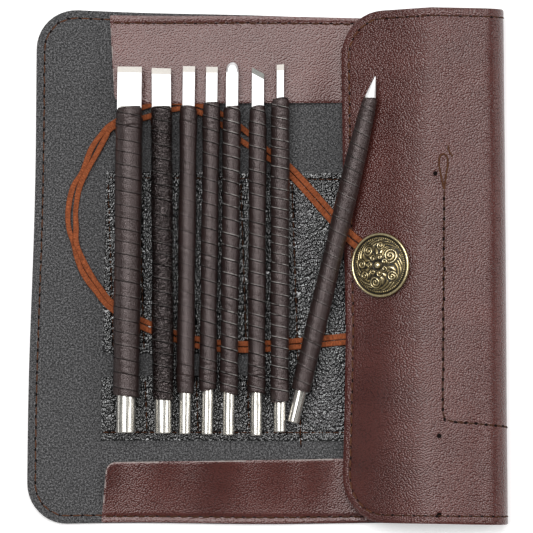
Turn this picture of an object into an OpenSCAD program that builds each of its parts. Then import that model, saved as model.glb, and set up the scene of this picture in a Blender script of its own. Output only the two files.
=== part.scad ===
// Carving tool roll, lying open.
// A leather sheet with a suede lining carries a pebbled pocket panel and two guard strips.
// Its right side folds back over itself as a flap, which carries a domed button and a tie cord.
// Eight carving tools with leather-wrapped handles lie on the pocket panel.
// Millimetres. X runs across the roll, Y along the tools toward their tips, Z up from the table.

/* [Sheet] */
// X of the left edge at the tip end
left_top_x = -107.4; // [-112:0.2:-104]
// X of the left edge at the butt end
left_bottom_x = -113; // [-116:0.2:-108]
// Y of the tip-end edge at its left
top_y_left = 121.3; // [118:0.1:124]
// Y of the tip-end edge where the flap starts
top_y_middle = 116.6; // [115.6:0.1:120]
// Y of the tip-end edge at the fold
top_y_fold = 119.6; // [117:0.1:121]
// Y of the butt-end edge
bottom_y = -121; // [-123:0.1:-119]
// Radius of the two left corners
corner_r = 18.8; // [8:0.2:24]
// Thickness of the outer leather
leather_t = 1.1; // [0.8:0.1:1.3]
// Thickness of the suede lining
lining_t = 0.7; // [0.4:0.1:0.9]

/* [Fold and flap] */
// X of the line where the sheet starts to fold up
fold_x = 101.8; // [100:0.1:104]
// Outer radius of the fold
fold_r = 10.5; // [10:0.1:11]
// Upward angle of the flap as it leaves the fold
fold_rise = 6; // [4:0.5:7]
// X of the crest of the flap
crest_x = 77; // [75:0.1:78]
// Outer radius of the crest
crest_r = 38; // [34:0.5:40]
// Downward slope from the crest to the free edge
flap_slope = 28; // [26:0.5:28]
// X of the free edge
flap_edge_x = 36; // [35:0.1:37]
// How far the middle of the free edge is drawn in toward the fold
flap_edge_bow = 1.2; // [0:0.1:2]
// Y of the flap's tip-end edge at the crest
flap_top_y = 121.4; // [120:0.1:122]
// Y of the flap's butt-end edge
flap_bottom_y = -120.4; // [-122:0.1:-119]
// Radius of the flap's free corner at the butt end
flap_corner_r = 21; // [6:0.5:26]
// Radius of the flap's free corner at the tip end
flap_tip_corner_r = 21; // [6:0.5:26]
// Diameter of the punched marks in the flap
punch_d = 2.3; // [1.5:0.1:3]

/* [Left margin] */
// X of the line where the left margin folds over
margin_x = -90.8; // [-92:0.1:-89]

/* [Guard strips] */
// Thickness of a guard strip
guard_t = 1; // [0.8:0.1:1.2]
// Y of the seam of the tip guard
top_seam_y = 114.2; // [113:0.1:115]
// Y of the free edge of the tip guard
top_guard_y = 76.8; // [74:0.1:80]
// Y of the seam of the butt guard
bottom_seam_y = -117.6; // [-118:0.1:-116]
// Y of the free edge of the butt guard
bottom_guard_y = -90.5; // [-94:0.1:-88]
// X of the tip guard's left end
guard_left_x = -73; // [-74:0.1:-70]
// X of the butt guard's left end
butt_guard_left_x = -77.2; // [-78:0.1:-74]
// X of the guards' right ends, just inside the flap
guard_right_x = 44; // [40:0.5:60]

/* [Pocket panel] */
// Thickness of the pocket panel
pocket_t = 1.1; // [0.8:0.1:1.1]
// X of its left edge
pocket_left_x = -76.8; // [-78:0.1:-76]
// Y of its tip-end edge
pocket_top_y = 44; // [40:0.1:48]
// Y of its butt-end edge
pocket_bottom_y = -81.8; // [-84:0.1:-80]
// X of the seam beside the first loose pocket, halfway along
pocket_seam_x = 13.3; // [12:0.1:15]
// Distance between two pocket seams
pocket_pitch = 24.06; // [22:0.1:24.5]
// Number of seams across the pockets
pocket_seams = 4; // [2:1:4]
// Sideways lean of the seams per millimetre of length
seam_lean = 0.034; // [0:0.002:0.04]
// Width of the openings at the seams
window_w = 9.5; // [6:0.5:11]
// Length of the openings at the seams
window_l = 10; // [6:0.5:12]
// Y of the middle of the openings
window_y = -45.8; // [-52:0.2:-40]

/* [Thread] */
// Width of a line of stitching
thread_w = 0.6; // [0.4:0.1:0.8]
// Height of a line of stitching above the leather
thread_h = 0.25; // [0.2:0.05:0.25]
// Distance from the sheet's edge to its stitching
stitch_inset = 3.8; // [3:0.1:4.5]

/* [Tie cord] */
// Width of one strand
strand_w = 2.6; // [2:0.1:3]
// Thickness of a strand
strand_t = 1.4; // [1:0.05:1.4]
// Gap between the two strands
strand_gap = 0.3; // [0.2:0.1:1]

/* [Button] */
// Diameter of the domed button
button_d = 30.2; // [28:0.1:31]
// Height of the dome above its rim
button_h = 4.7; // [3:0.1:6]
// Distance of the button's centre from the free edge, across the flap
button_in = 18.5; // [17:0.1:20]
// Y of the button's centre
button_y = 0.7; // [-5:0.1:5]
// Gap between the leather and the button at its centre
button_gap = 1.9; // [1.7:0.1:2.5]
// Diameter of the screw's shaft
screw_d = 3; // [2.5:0.1:4]
// Radial clearance of the shaft in the button's boss
screw_clearance = 0.05; // [0.02:0.01:0.1]

/* [Tools] */
// Thickness of the flat blades
blade_t = 2.4; // [1.5:0.1:2.6]
// Length of the ground bevel
bevel_l = 2.8; // [1.5:0.1:4]
// How far a blade's tang goes into its rod
tang_l = 12; // [6:1:20]
// Distance between two turns of a handle's leather strip
wrap_pitch = 6.3; // [4:0.1:10]
// Height of the step where one turn overlaps the next
wrap_step = 0.25; // [0.1:0.05:0.4]

/* [Hidden] */
$fn = 64;
eps = 0.01;
far = 300;
sheet_t = leather_t + lining_t;
pocket_z = sheet_t + pocket_t;
hem_z = sheet_t + guard_t;
leather_brown = "#4b2d2a";
lining_grey = "#3e4042";
pebble_black = "#1c1c1c";
thread_brown = "#6e3c23";
cord_tan = "#b05830";
brass = "#96823c";
steel = "#d8d8d8";
wrap_brown = "#3c2d2a";

// The sheet is followed along its outer face. s = 0 is where the fold starts.
fold_turn = 180 - fold_rise;
crest_turn = fold_rise + flap_slope;
fold_end = [fold_x + fold_r * sin(fold_turn), fold_r - fold_r * cos(fold_turn)];
rise_l = (fold_end[0] - crest_x - crest_r * sin(fold_rise)) / cos(fold_rise);
crest_start = fold_end + rise_l * [cos(fold_turn), sin(fold_turn)];
crest_centre = crest_start + crest_r * [-sin(fold_turn), cos(fold_turn)];
slope_start = crest_centre + crest_r * [sin(180 + flap_slope), -cos(180 + flap_slope)];
slope_l = (slope_start[0] - flap_edge_x) / cos(flap_slope);
s_rise = arc_length(fold_r, fold_turn);
s_crest = s_rise + rise_l;
s_slope = s_crest + arc_length(crest_r, crest_turn);
s_edge = s_slope + slope_l;

// Four hinge lines share the fold's half turn, so three narrow spines lie between them.
spine_angles = [22.5, 67.5, 112.5, 157.5];
s_hinge = [for (a = spine_angles) arc_length(fold_r, a)];
arc_step = 4.5;

function arc_length(r, a) = r * a * PI / 180;

function heading(s) =
    s < 0 ? 0
    : s < s_rise ? fold_turn * s / s_rise
    : s < s_crest ? fold_turn
    : s < s_slope ? fold_turn + crest_turn * (s - s_crest) / (s_slope - s_crest)
    : 180 + flap_slope;

function outer_point(s) =
    let (a = heading(s))
    s < 0 ? [fold_x + s, 0]
    : s < s_rise ? [fold_x + fold_r * sin(a), fold_r - fold_r * cos(a)]
    : s < s_crest ? fold_end + (s - s_rise) * [cos(a), sin(a)]
    : s < s_slope ? crest_centre + crest_r * [sin(a), -cos(a)]
    : slope_start + (s - s_slope) * [cos(a), sin(a)];

// Point at distance s along the sheet and depth d under its outer face.
function sheet_point(s, d) = outer_point(s) + d * [-sin(heading(s)), cos(heading(s))];

// Places along the sheet where a bend needs a corner of its outline.
stations = concat(
    [for (a = [0 : arc_step : fold_turn]) arc_length(fold_r, a)],
    [s_rise],
    [for (a = [0 : arc_step : crest_turn]) s_crest + arc_length(crest_r, a)],
    [s_slope]
);

function stations_between(s0, s1) =
    concat([s0], [for (s = stations) if (s > s0 + eps && s < s1 - eps) s], [s1]);

function reversed(list) = [for (i = [len(list) - 1 : -1 : 0]) list[i]];

// Part of the sheet from s0 to s1, between depths d0 and d1, over the whole length in Y.
module sheet_slab(s0, s1, d0, d1) {
    along = stations_between(s0, s1);
    outline = concat([for (s = along) sheet_point(s, d0)], [for (s = reversed(along)) sheet_point(s, d1)]);
    translate([0, far / 2, 0])
        rotate([90, 0, 0])
            linear_extrude(far)
                polygon(outline);
}

function unit(v) = v / norm(v);

// Corner p between a and b, rounded to radius r.
function corner(a, p, b, r, steps = 10) =
    r == 0 ? [p] :
    let (
        u = unit(a - p),
        v = unit(b - p),
        half = acos(u * v) / 2,
        centre = p + unit(u + v) * r / sin(half),
        first = p + u * r / tan(half) - centre,
        last = p + v * r / tan(half) - centre,
        start = atan2(first[1], first[0]),
        turn = atan2(first[0] * last[1] - first[1] * last[0], first * last)
    )
    [for (k = [0 : steps]) centre + r * [cos(start + turn * k / steps), sin(start + turn * k / steps)]];

// Outline from corners given as [x, y, radius].
function rounded(corners) =
    let (n = len(corners), xy = [for (c = corners) [c[0], c[1]]])
    [for (i = [0 : n - 1]) each corner(xy[(i + n - 1) % n], xy[i], xy[(i + 1) % n], corners[i][2])];

// The same corners moved inward by d. The corners run anticlockwise.
function inset(corners, d) =
    let (n = len(corners), xy = [for (c = corners) [c[0], c[1]]])
    [for (i = [0 : n - 1])
        let (
            e = unit(xy[i] - xy[(i + n - 1) % n]),
            f = unit(xy[(i + 1) % n] - xy[i]),
            m = [-e[1], e[0]],
            k = [-f[1], f[0]],
            p = xy[i] + (m + k) * d / (1 + m * k)
        )
        [p[0], p[1], max(0, corners[i][2] - (corners[i][2] > 0 ? d : 0))]
    ];

sheet_corners = [
    [left_bottom_x, bottom_y, corner_r],
    [far, bottom_y, 0],
    [far, top_y_fold, 0],
    [fold_x, top_y_fold, 0],
    [flap_edge_x, top_y_middle, 0],
    [left_top_x, top_y_left, corner_r]
];

// The free edge is drawn in at flap_bow_y, and its two corners reach a little beyond it.
flap_bow_y = -30;
flap_butt_reach = 0.6;
flap_tip_reach = 0.9;
flap_corners = [
    [flap_edge_x - flap_butt_reach, flap_bottom_y, flap_corner_r],
    [fold_x, flap_bottom_y, 0],
    [far, flap_bottom_y, 0],
    [far, top_y_fold, 0],
    [fold_x, top_y_fold, 0],
    [crest_x, flap_top_y, 0],
    [flap_edge_x - flap_tip_reach, top_y_fold - 0.4, flap_tip_corner_r],
    [flap_edge_x + flap_edge_bow, flap_bow_y, 0]
];

module plan(corners) linear_extrude(2 * fold_r + far, center = true) polygon(rounded(corners));

module between_x(x0, x1) translate([x0, -far / 2, -far / 2]) cube([x1 - x0, far, far]);

module between_y(y0, y1) translate([-far / 2, y0, -far / 2]) cube([far, y1 - y0, far]);

module flat_layer(z0, z1, corners) translate([0, 0, z0]) linear_extrude(z1 - z0) polygon(rounded(corners));

// Line of stitching that follows an outline at the stitch inset, as a prism to cut with.
module stitch_ring(corners) {
    linear_extrude(far, center = true)
        difference() {
            polygon(rounded(inset(corners, stitch_inset)));
            polygon(rounded(inset(corners, stitch_inset + thread_w)));
        }
}

// One layer of the sheet, by the body that carries it.
module margin_layer(d0, d1) {
    intersection() {
        sheet_slab(margin_x - far, margin_x - fold_x, d0, d1);
        plan(sheet_corners);
    }
}

module main_layer(d0, d1) {
    intersection() {
        sheet_slab(margin_x - fold_x, s_hinge[0], d0, d1);
        plan(sheet_corners);
    }
}

module spine_layer(index, d0, d1) {
    intersection() {
        sheet_slab(s_hinge[index], s_hinge[index + 1], d0, d1);
        plan(sheet_corners);
    }
}

module flap_layer(d0, d1) {
    intersection() {
        sheet_slab(s_hinge[3], s_edge + 2, d0, d1);
        plan(flap_corners);
    }
}

// Holes through the flap's leather, in plan.
mark_places = [[78.7, 43.5], [80.5, -79.2], [80.5, -116.1]];

module punched_marks() {
    for (place = mark_places)
        translate([place[0], place[1], fold_r]) cylinder(d = punch_d, h = far);
}

// The button stands square to the flap's slope.
button_s = s_edge - button_in / cos(flap_slope);
button_foot = outer_point(button_s);
module at_button() {
    translate([button_foot[0], button_y, button_foot[1]]) rotate([0, -flap_slope, 0]) children();
}
module screw_hole() at_button() cylinder(d = screw_d, h = 20, center = true);

module leather_left() color(leather_brown) margin_layer(0, leather_t);
module leather_main() color(leather_brown) main_layer(0, leather_t);
module leather_spine(index) color(leather_brown) spine_layer(index, 0, leather_t);
module leather_flap() {
    color(leather_brown)
        difference() {
            flap_layer(0, leather_t);
            punched_marks();
            screw_hole();
        }
}

module lining_left() color(lining_grey) margin_layer(leather_t, sheet_t);
module lining_main() color(lining_grey) main_layer(leather_t, sheet_t);
module lining_spine(index) color(lining_grey) spine_layer(index, leather_t, sheet_t);
module lining_flap() {
    color(lining_grey)
        difference() {
            flap_layer(leather_t, sheet_t);
            screw_hole();
        }
}

// Pocket panel: seams lean a little, and each seam has a rounded opening on it.
function seam_x(index, y) = pocket_seam_x - index * pocket_pitch - seam_lean * y;
pocket_end_s = s_crest;
pocket_top_seam_y = pocket_top_y - 3.3;
pocket_bottom_seam_y = pocket_bottom_y + 3.8;
window_r = 4;
edge_window_extra = 2;

module pocket_window(x, w) {
    corners = [
        [x - w / 2, window_y - window_l / 2, window_r],
        [x + w / 2, window_y - window_l / 2, window_r],
        [x + w / 2, window_y + window_l / 2, window_r],
        [x - w / 2, window_y + window_l / 2, window_r]
    ];
    linear_extrude(far, center = true) polygon(rounded(corners));
}

module pocket_main() {
    color(pebble_black)
        difference() {
            intersection() {
                sheet_slab(pocket_left_x - fold_x, s_hinge[0], sheet_t, pocket_z);
                between_y(pocket_bottom_y, pocket_top_y);
            }
            for (i = [1 : pocket_seams - 1]) pocket_window(seam_x(i, window_y), window_w);
            pocket_window(pocket_left_x, window_w + edge_window_extra);
        }
}

module pocket_spine(index) {
    color(pebble_black)
        intersection() {
            sheet_slab(s_hinge[index], s_hinge[index + 1], sheet_t, pocket_z);
            between_y(pocket_bottom_y, pocket_top_y);
        }
}

module pocket_flap() {
    color(pebble_black)
        intersection() {
            sheet_slab(s_hinge[3], pocket_end_s, sheet_t, pocket_z);
            between_y(pocket_bottom_y, pocket_top_y);
        }
}

// Guard strips: each lifts about its seam; the hem beyond the seam stays on the sheet.
// Their left ends slant a little, and the hems follow the sheet's edges.
guard_slant = 2;
guard_corner_r = 4.5;
hem_rise = 1.4;
hem_margin = 0.4;

module top_guard() {
    corners = [
        [guard_left_x + guard_slant, top_guard_y, guard_corner_r],
        [guard_right_x, top_guard_y, 0],
        [guard_right_x, top_seam_y, 0],
        [guard_left_x, top_seam_y, 0]
    ];
    color(leather_brown) flat_layer(sheet_t, hem_z, corners);
}

module top_hem() {
    corners = [
        [guard_left_x, top_seam_y, 0],
        [guard_right_x, top_seam_y, 0],
        [guard_right_x, top_y_middle, 0],
        [guard_left_x, top_y_middle + hem_rise, 0]
    ];
    color(leather_brown) flat_layer(sheet_t, hem_z, corners);
}

module bottom_guard() {
    corners = [
        [butt_guard_left_x, bottom_seam_y, 0],
        [guard_right_x, bottom_seam_y, 0],
        [guard_right_x, bottom_guard_y, 0],
        [butt_guard_left_x + guard_slant, bottom_guard_y, guard_corner_r]
    ];
    color(leather_brown) flat_layer(sheet_t, hem_z, corners);
}

module bottom_hem() {
    corners = [
        [butt_guard_left_x, bottom_y + hem_margin, 0],
        [guard_right_x, bottom_y + hem_margin, 0],
        [guard_right_x, bottom_seam_y, 0],
        [butt_guard_left_x, bottom_seam_y, 0]
    ];
    color(leather_brown) flat_layer(sheet_t, hem_z, corners);
}

// Thread.
hem_seam_inset = 0.6;

module seam_line(a, b, z) {
    along = unit(b - a);
    side = thread_w / 2 * [-along[1], along[0]];
    translate([0, 0, z]) linear_extrude(thread_h) polygon([a - side, b - side, b + side, a + side]);
}

module hem_seam(left_x, y) seam_line([left_x, y], [guard_right_x, y], hem_z);

module margin_thread() {
    color(thread_brown)
        intersection() {
            margin_layer(sheet_t, sheet_t + thread_h);
            stitch_ring(sheet_corners);
        }
}

module edge_thread() {
    color(thread_brown) {
        intersection() {
            main_layer(sheet_t, sheet_t + thread_h);
            stitch_ring(sheet_corners);
            between_x(margin_x, butt_guard_left_x - 1);
        }
        intersection() {
            main_layer(sheet_t, sheet_t + thread_h);
            stitch_ring(sheet_corners);
            between_x(guard_right_x + 1, far);
        }
        hem_seam(guard_left_x, top_seam_y + hem_seam_inset);
        hem_seam(butt_guard_left_x, bottom_seam_y - hem_seam_inset);
    }
}

module flap_thread() {
    color(thread_brown)
        intersection() {
            flap_layer(-thread_h, 0);
            stitch_ring(flap_corners);
        }
}

// Each seam stops short of its opening, and starts clear of the seams it meets.
module pocket_seam(index, y0, y1) seam_line([seam_x(index, y0), y0], [seam_x(index, y1), y1], pocket_z);

module pocket_thread() {
    top = pocket_top_seam_y - 1;
    bottom = pocket_bottom_seam_y + 1;
    above_window = window_y + window_l / 2 + 3;
    below_window = window_y - window_l / 2 - 3;
    edge_x = pocket_left_x + 3;
    color(thread_brown) {
        for (y = [pocket_top_seam_y, pocket_bottom_seam_y])
            seam_line([pocket_left_x + 1, y], [fold_x, y], pocket_z);
        for (i = [1 : pocket_seams - 1]) {
            pocket_seam(i, top, above_window);
            pocket_seam(i, below_window, bottom);
        }
        pocket_seam(0, top, bottom);
        seam_line([edge_x, top], [edge_x, above_window], pocket_z);
    }
}

// The pocket's end seam and its lower seam show as stitching on the flap's outer face.
flap_seam_top_y = 36;
flap_seam_bottom_y = -72;
cross_seam_y = -73.5;

module pocket_flap_thread() {
    seam_s = pocket_end_s - 1;
    color(thread_brown) {
        intersection() {
            sheet_slab(seam_s, seam_s + thread_w, -thread_h, 0);
            between_y(flap_seam_bottom_y, flap_seam_top_y);
        }
        intersection() {
            sheet_slab(s_hinge[3], seam_s - 1, -thread_h, 0);
            between_y(cross_seam_y - thread_w, cross_seam_y);
        }
    }
}

// Tie cord: two flat strands side by side along a smooth path of waypoints.
cord_waypoints = [
    [31.5, 22.4], [11.3, 44.7], [-0.7, 53.8], [-10.4, 61.1], [-20.8, 69], [-31.6, 74.3],
    [-42.2, 75.6], [-56.1, 72.9], [-72.1, 66.4], [-81.1, 54.2], [-85.8, 44.1], [-89.6, 36.9],
    [-91.5, 26.8], [-91.3, 18.2], [-90, 11], [-87.9, 3.8], [-84.5, -3.4], [-79.4, -10.6],
    [-72.6, -18.6], [-57.1, -27.5], [-31.3, -36], [-10.1, -37.8], [13.4, -36.4], [41, -33.8]
];

// Catmull-Rom point between b and c.
function spline(a, b, c, d, t) =
    0.5 * (2 * b + (c - a) * t + (2 * a - 5 * b + 4 * c - d) * t * t + (3 * b - a - 3 * c + d) * t * t * t);

function smooth_path(p, steps = 4) =
    let (n = len(p))
    concat(
        [for (i = [0 : n - 2], k = [0 : steps - 1])
            spline(p[max(i - 1, 0)], p[i], p[i + 1], p[min(i + 2, n - 1)], k / steps)],
        [p[n - 1]]
    );

function path_side(p, i) =
    let (along = unit(p[min(i + 1, len(p) - 1)] - p[max(i - 1, 0)])) [-along[1], along[0]];

module strand(p, offset_a, offset_b, z) {
    n = len(p);
    near_side = [for (i = [0 : n - 1]) p[i] + offset_a * path_side(p, i)];
    far_side = [for (i = [n - 1 : -1 : 0]) p[i] + offset_b * path_side(p, i)];
    translate([0, 0, z]) linear_extrude(strand_t) polygon(concat(near_side, far_side));
}

cord_lift = thread_h + 0.05;
cord_z = pocket_z + cord_lift;
tool_rest_z = cord_z + strand_t + 0.05;

// The two strands on a flat path, with their undersides at height z.
module strand_pair(p, z) {
    strand(p, -strand_gap / 2 - strand_w, -strand_gap / 2, z);
    strand(p, strand_gap / 2, strand_gap / 2 + strand_w, z);
}

// The first stretch climbs from the pocket panel to the flap's free edge.
module cord_climb(a, b, z0, z1) {
    run = norm(b - a);
    for (side = [-1, 1])
        translate([a[0], a[1], 0])
            rotate([0, 0, atan2(b[1] - a[1], b[0] - a[0])])
                translate([0, side * (strand_gap + strand_w) / 2 + strand_w / 2, 0])
                    rotate([90, 0, 0])
                        linear_extrude(strand_w)
                            polygon([[0, z0], [run, z1], [run, z1 + strand_t], [0, z0 + strand_t]]);
}

cord_climb_end = [33, 20.4];
cord_climb_h = 1.5;

module tie_cord() {
    color(cord_tan) {
        strand_pair(smooth_path(cord_waypoints), cord_z);
        cord_climb(cord_waypoints[0], cord_climb_end, cord_z, cord_z + cord_climb_h);
    }
}

// The cord's fixed end lies up the flap's slope and ends round the button's washer.
anchor_edge_x = -button_in / cos(flap_slope);
anchor_path = [[anchor_edge_x - 1.5, 17.6], [anchor_edge_x / 2, 8.6], [-2, 2.4]];

module cord_anchor() {
    color(cord_tan)
        at_button()
            difference() {
                strand_pair(anchor_path, cord_lift);
                translate([0, 0, -1]) cylinder(d = washer_d + 0.4, h = 5);
            }
}

// Button: a dome with a rim, a centre ball and a boss that turns on the screw.
rim_h = 1.4;
boss_d = 7;
ball_d = 3.6;
washer_t = 0.8;
washer_d = 9;
screw_head_d = 10;
screw_head_h = 1.2;

module button_cap() {
    dome_rise = button_h - rim_h;
    sphere_r = (button_d * button_d / 4 + dome_rise * dome_rise) / (2 * dome_rise);
    shell = 1;
    color(brass)
        at_button()
            translate([0, 0, button_gap])
                difference() {
                    union() {
                        difference() {
                            union() {
                                cylinder(d = button_d, h = rim_h);
                                intersection() {
                                    translate([0, 0, button_h - sphere_r]) sphere(r = sphere_r);
                                    cylinder(d = button_d - 1.2, h = 20);
                                }
                                translate([0, 0, button_h - 0.2]) sphere(d = ball_d);
                            }
                            translate([0, 0, -eps]) cylinder(d = button_d - 4, h = rim_h - shell + eps);
                        }
                        cylinder(d = boss_d, h = rim_h);
                    }
                    translate([0, 0, -eps]) cylinder(r = screw_d / 2 + screw_clearance, h = 2.6);
                }
}

module button_screw() {
    color(brass)
        at_button() {
            translate([0, 0, -sheet_t - screw_head_h]) cylinder(d = screw_head_d, h = screw_head_h);
            translate([0, 0, -sheet_t - eps]) cylinder(d = screw_d, h = sheet_t + button_gap + 2.4);
        }
}

module button_washer() {
    color(brass)
        at_button()
            difference() {
                cylinder(d = washer_d, h = washer_t);
                translate([0, 0, -eps]) cylinder(d = screw_d, h = washer_t + 2 * eps);
            }
}

// Tools. Each is made along +Y from its butt at the origin, with the handle's axis at z = 0.
// Butt and tip places in plan, blade width, handle and rod diameters, wrap ends in Y.
chisel_wide = [[-66.1, -78], [-64.2, 93.8], 11.4, 12.4, 8.9, -60.9, 75.2];
chisel_medium = [[-48.5, -78.3], [-49.4, 93.3], 9, 10.1, 8, -62.7, 75.4];
chisel_small = [[-38.4, -78.7], [-36.4, 94.1], 5.7, 8, 5.7, -59.5, 75.4];
chisel_fine = [[-27.9, -78.9], [-25.6, 93.8], 5.4, 7.9, 5.5, -57.6, 77.3];
round_nose = [[-17.9, -79.2], [-16, 95.9], 5.7, 8.3, 5.6, -59.7, 75.4];
skew = [[-4.8, -79.4], [-4, 93.5], 5.7, 8.2, 5.4, -59.9, 75];
chisel_narrow = [[6.2, -77.7], [6.5, 94.7], 3.4, 8.8, 5.8, -63.2, 78.7];
needle = [[12.5, -73.1], [51, 89.3], 5, 9.2, 5.6, -58, 79.2];
needle_pitch = 3.5;

function length_of(t) = norm(t[1] - t[0]);
function along_of(t, y) = (y - t[0][1]) / (t[1][1] - t[0][1]) * length_of(t);

// Puts a tool made along +Y from its butt at the origin into place.
module lay(t, pitch = 0) {
    translate([t[0][0], t[0][1], tool_rest_z + t[3] / 2])
        rotate([0, 0, -atan2(t[1][0] - t[0][0], t[1][1] - t[0][1])])
            rotate([pitch, 0, 0])
                children();
}

module tang_space(t, extra) {
    w = t[4] * 0.5;
    top = along_of(t, t[6]);
    translate([-w / 2, top - tang_l, -blade_t / 2]) cube([w, tang_l + extra, blade_t]);
}

// Side view of a chisel blade: flat, with one bevel on its upper face.
module bevel_side(base, tip) {
    rotate([90, 0, 90])
        linear_extrude(far, center = true)
            polygon([
                [base, -blade_t / 2], [tip, -blade_t / 2], [tip, -blade_t / 2 + 0.3],
                [tip - bevel_l, blade_t / 2], [base, blade_t / 2]
            ]);
}

module flat_blade(t, outline) {
    base = along_of(t, t[6]);
    color(steel)
        lay(t) {
            intersection() {
                linear_extrude(far, center = true) polygon(outline);
                bevel_side(base, length_of(t));
            }
            tang_space(t, 0);
        }
}

module chisel_blade(t) {
    base = along_of(t, t[6]);
    tip = length_of(t);
    w = t[2];
    flat_blade(t, [[-w / 2, base], [w / 2, base], [w / 2, tip], [-w / 2, tip]]);
}

module round_blade(t) {
    base = along_of(t, t[6]);
    tip = length_of(t);
    w = t[2];
    nose = [for (a = [0 : 12 : 180]) [w / 2 * cos(a), tip - 4.6 + 4.6 * pow(sin(a), 0.8)]];
    flat_blade(t, concat([[-w / 2, base], [w / 2, base]], nose));
}

module skew_edge_blade(t) {
    base = along_of(t, t[6]);
    tip = length_of(t);
    w = t[2];
    flat_blade(t, [[-w / 2, base], [w / 2, base], [w / 2, tip - 3], [-w / 2, tip]]);
}

module needle_point(t) {
    base = along_of(t, t[6]);
    color(steel)
        lay(t, needle_pitch)
            translate([0, base, 0])
                rotate([-90, 0, 0])
                    cylinder(d1 = t[2], d2 = 0.3, h = length_of(t) - base);
}

// Rod with a slot for the blade's tang.
module rod(t, slotted = true, pitch = 0) {
    color(steel)
        lay(t, pitch)
            difference() {
                rotate([-90, 0, 0]) cylinder(d = t[4], h = along_of(t, t[6]));
                if (slotted) tang_space(t, 1);
            }
}

// Leather strip wound round the rod: every turn overlaps the next by a small step.
module wrap(t, pitch = 0) {
    bottom = along_of(t, t[5]);
    top = along_of(t, t[6]);
    turns = floor((top - bottom) / wrap_pitch);
    turn_l = (top - bottom) / turns;
    r = t[3] / 2;
    steps = [for (k = [0 : turns - 1]) each [[r - wrap_step, k * turn_l], [r, (k + 1) * turn_l]]];
    color(wrap_brown)
        lay(t, pitch)
            translate([0, bottom, 0])
                rotate([-90, 0, 0])
                    rotate_extrude()
                        polygon(concat([[t[4] / 2, 0]], steps, [[t[4] / 2, top - bottom]]));
}

leather_left();
leather_main();
leather_spine(0);  // leather_spine_a
leather_spine(1);  // leather_spine_b
leather_spine(2);  // leather_spine_c
leather_flap();
lining_left();
lining_main();
lining_spine(0);  // lining_spine_a
lining_spine(1);  // lining_spine_b
lining_spine(2);  // lining_spine_c
lining_flap();
pocket_main();
pocket_spine(0);  // pocket_spine_a
pocket_spine(1);  // pocket_spine_b
pocket_spine(2);  // pocket_spine_c
pocket_flap();
top_guard();
top_hem();
bottom_guard();
bottom_hem();
margin_thread();
edge_thread();
flap_thread();
pocket_thread();
pocket_flap_thread();
tie_cord();
cord_anchor();
button_cap();
button_screw();
button_washer();
chisel_blade(chisel_wide);  // chisel_wide_blade
rod(chisel_wide);  // chisel_wide_rod
wrap(chisel_wide);  // chisel_wide_wrap
chisel_blade(chisel_medium);  // chisel_medium_blade
rod(chisel_medium);  // chisel_medium_rod
wrap(chisel_medium);  // chisel_medium_wrap
chisel_blade(chisel_small);  // chisel_small_blade
rod(chisel_small);  // chisel_small_rod
wrap(chisel_small);  // chisel_small_wrap
chisel_blade(chisel_fine);  // chisel_fine_blade
rod(chisel_fine);  // chisel_fine_rod
wrap(chisel_fine);  // chisel_fine_wrap
round_blade(round_nose);  // round_nose_blade
rod(round_nose);  // round_nose_rod
wrap(round_nose);  // round_nose_wrap
skew_edge_blade(skew);  // skew_blade
rod(skew);  // skew_rod
wrap(skew);  // skew_wrap
chisel_blade(chisel_narrow);  // chisel_narrow_blade
rod(chisel_narrow);  // chisel_narrow_rod
wrap(chisel_narrow);  // chisel_narrow_wrap
needle_point(needle);  // needle_blade
rod(needle, false, needle_pitch);  // needle_rod
wrap(needle, needle_pitch);  // needle_wrap
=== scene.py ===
import math
import bpy
import numpy as np
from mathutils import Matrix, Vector
from numpy import arange, clip, cos, interp, linspace, pi, sin, vstack


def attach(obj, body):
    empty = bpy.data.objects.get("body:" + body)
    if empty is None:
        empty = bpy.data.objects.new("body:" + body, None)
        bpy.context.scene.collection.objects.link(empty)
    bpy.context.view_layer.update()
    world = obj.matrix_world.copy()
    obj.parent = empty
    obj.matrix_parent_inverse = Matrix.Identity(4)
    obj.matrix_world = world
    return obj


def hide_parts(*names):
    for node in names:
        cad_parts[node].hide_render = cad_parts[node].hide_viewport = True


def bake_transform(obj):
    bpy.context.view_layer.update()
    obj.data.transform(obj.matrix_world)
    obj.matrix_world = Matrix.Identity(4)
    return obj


# Looks for the carving tool roll. Lengths are in millimetres until a mesh is made.
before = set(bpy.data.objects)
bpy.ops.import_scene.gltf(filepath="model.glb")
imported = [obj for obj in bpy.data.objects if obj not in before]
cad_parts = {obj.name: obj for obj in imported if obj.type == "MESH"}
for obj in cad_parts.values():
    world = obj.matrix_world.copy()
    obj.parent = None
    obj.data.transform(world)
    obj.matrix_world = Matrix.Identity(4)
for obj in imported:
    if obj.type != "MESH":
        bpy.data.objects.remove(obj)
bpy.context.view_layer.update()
MM = 0.001


# ---- small helpers
def ease(value, low, high):
    """0 below low, 1 above high, smooth between."""
    t = clip((value - low) / (high - low), 0, 1)
    return t * t * (3 - 2 * t)


def ridge(value, width):
    """1 at value 0, falling away over the given width."""
    return np.exp(-((value / width) ** 2))


def spaced(low, high, step):
    """Even values from low to high, about one step apart."""
    return linspace(low, high, max(1, round(abs(high - low) / step)) + 1)


def join(*columns):
    """Arrays put together as points, one array a coordinate."""
    return np.stack(np.broadcast_arrays(*columns), -1)


def circle(count):
    """Even angles once round, without the last one."""
    return linspace(0, 2 * pi, count, endpoint=False)


def unit(vectors):
    return vectors / np.maximum(np.linalg.norm(vectors, axis=-1, keepdims=True), 1e-12)


def run_along(points):
    """Distance run along a line, at each of its points."""
    return np.concatenate([[0], np.cumsum(np.linalg.norm(np.diff(points, axis=0), axis=1))])


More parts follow.
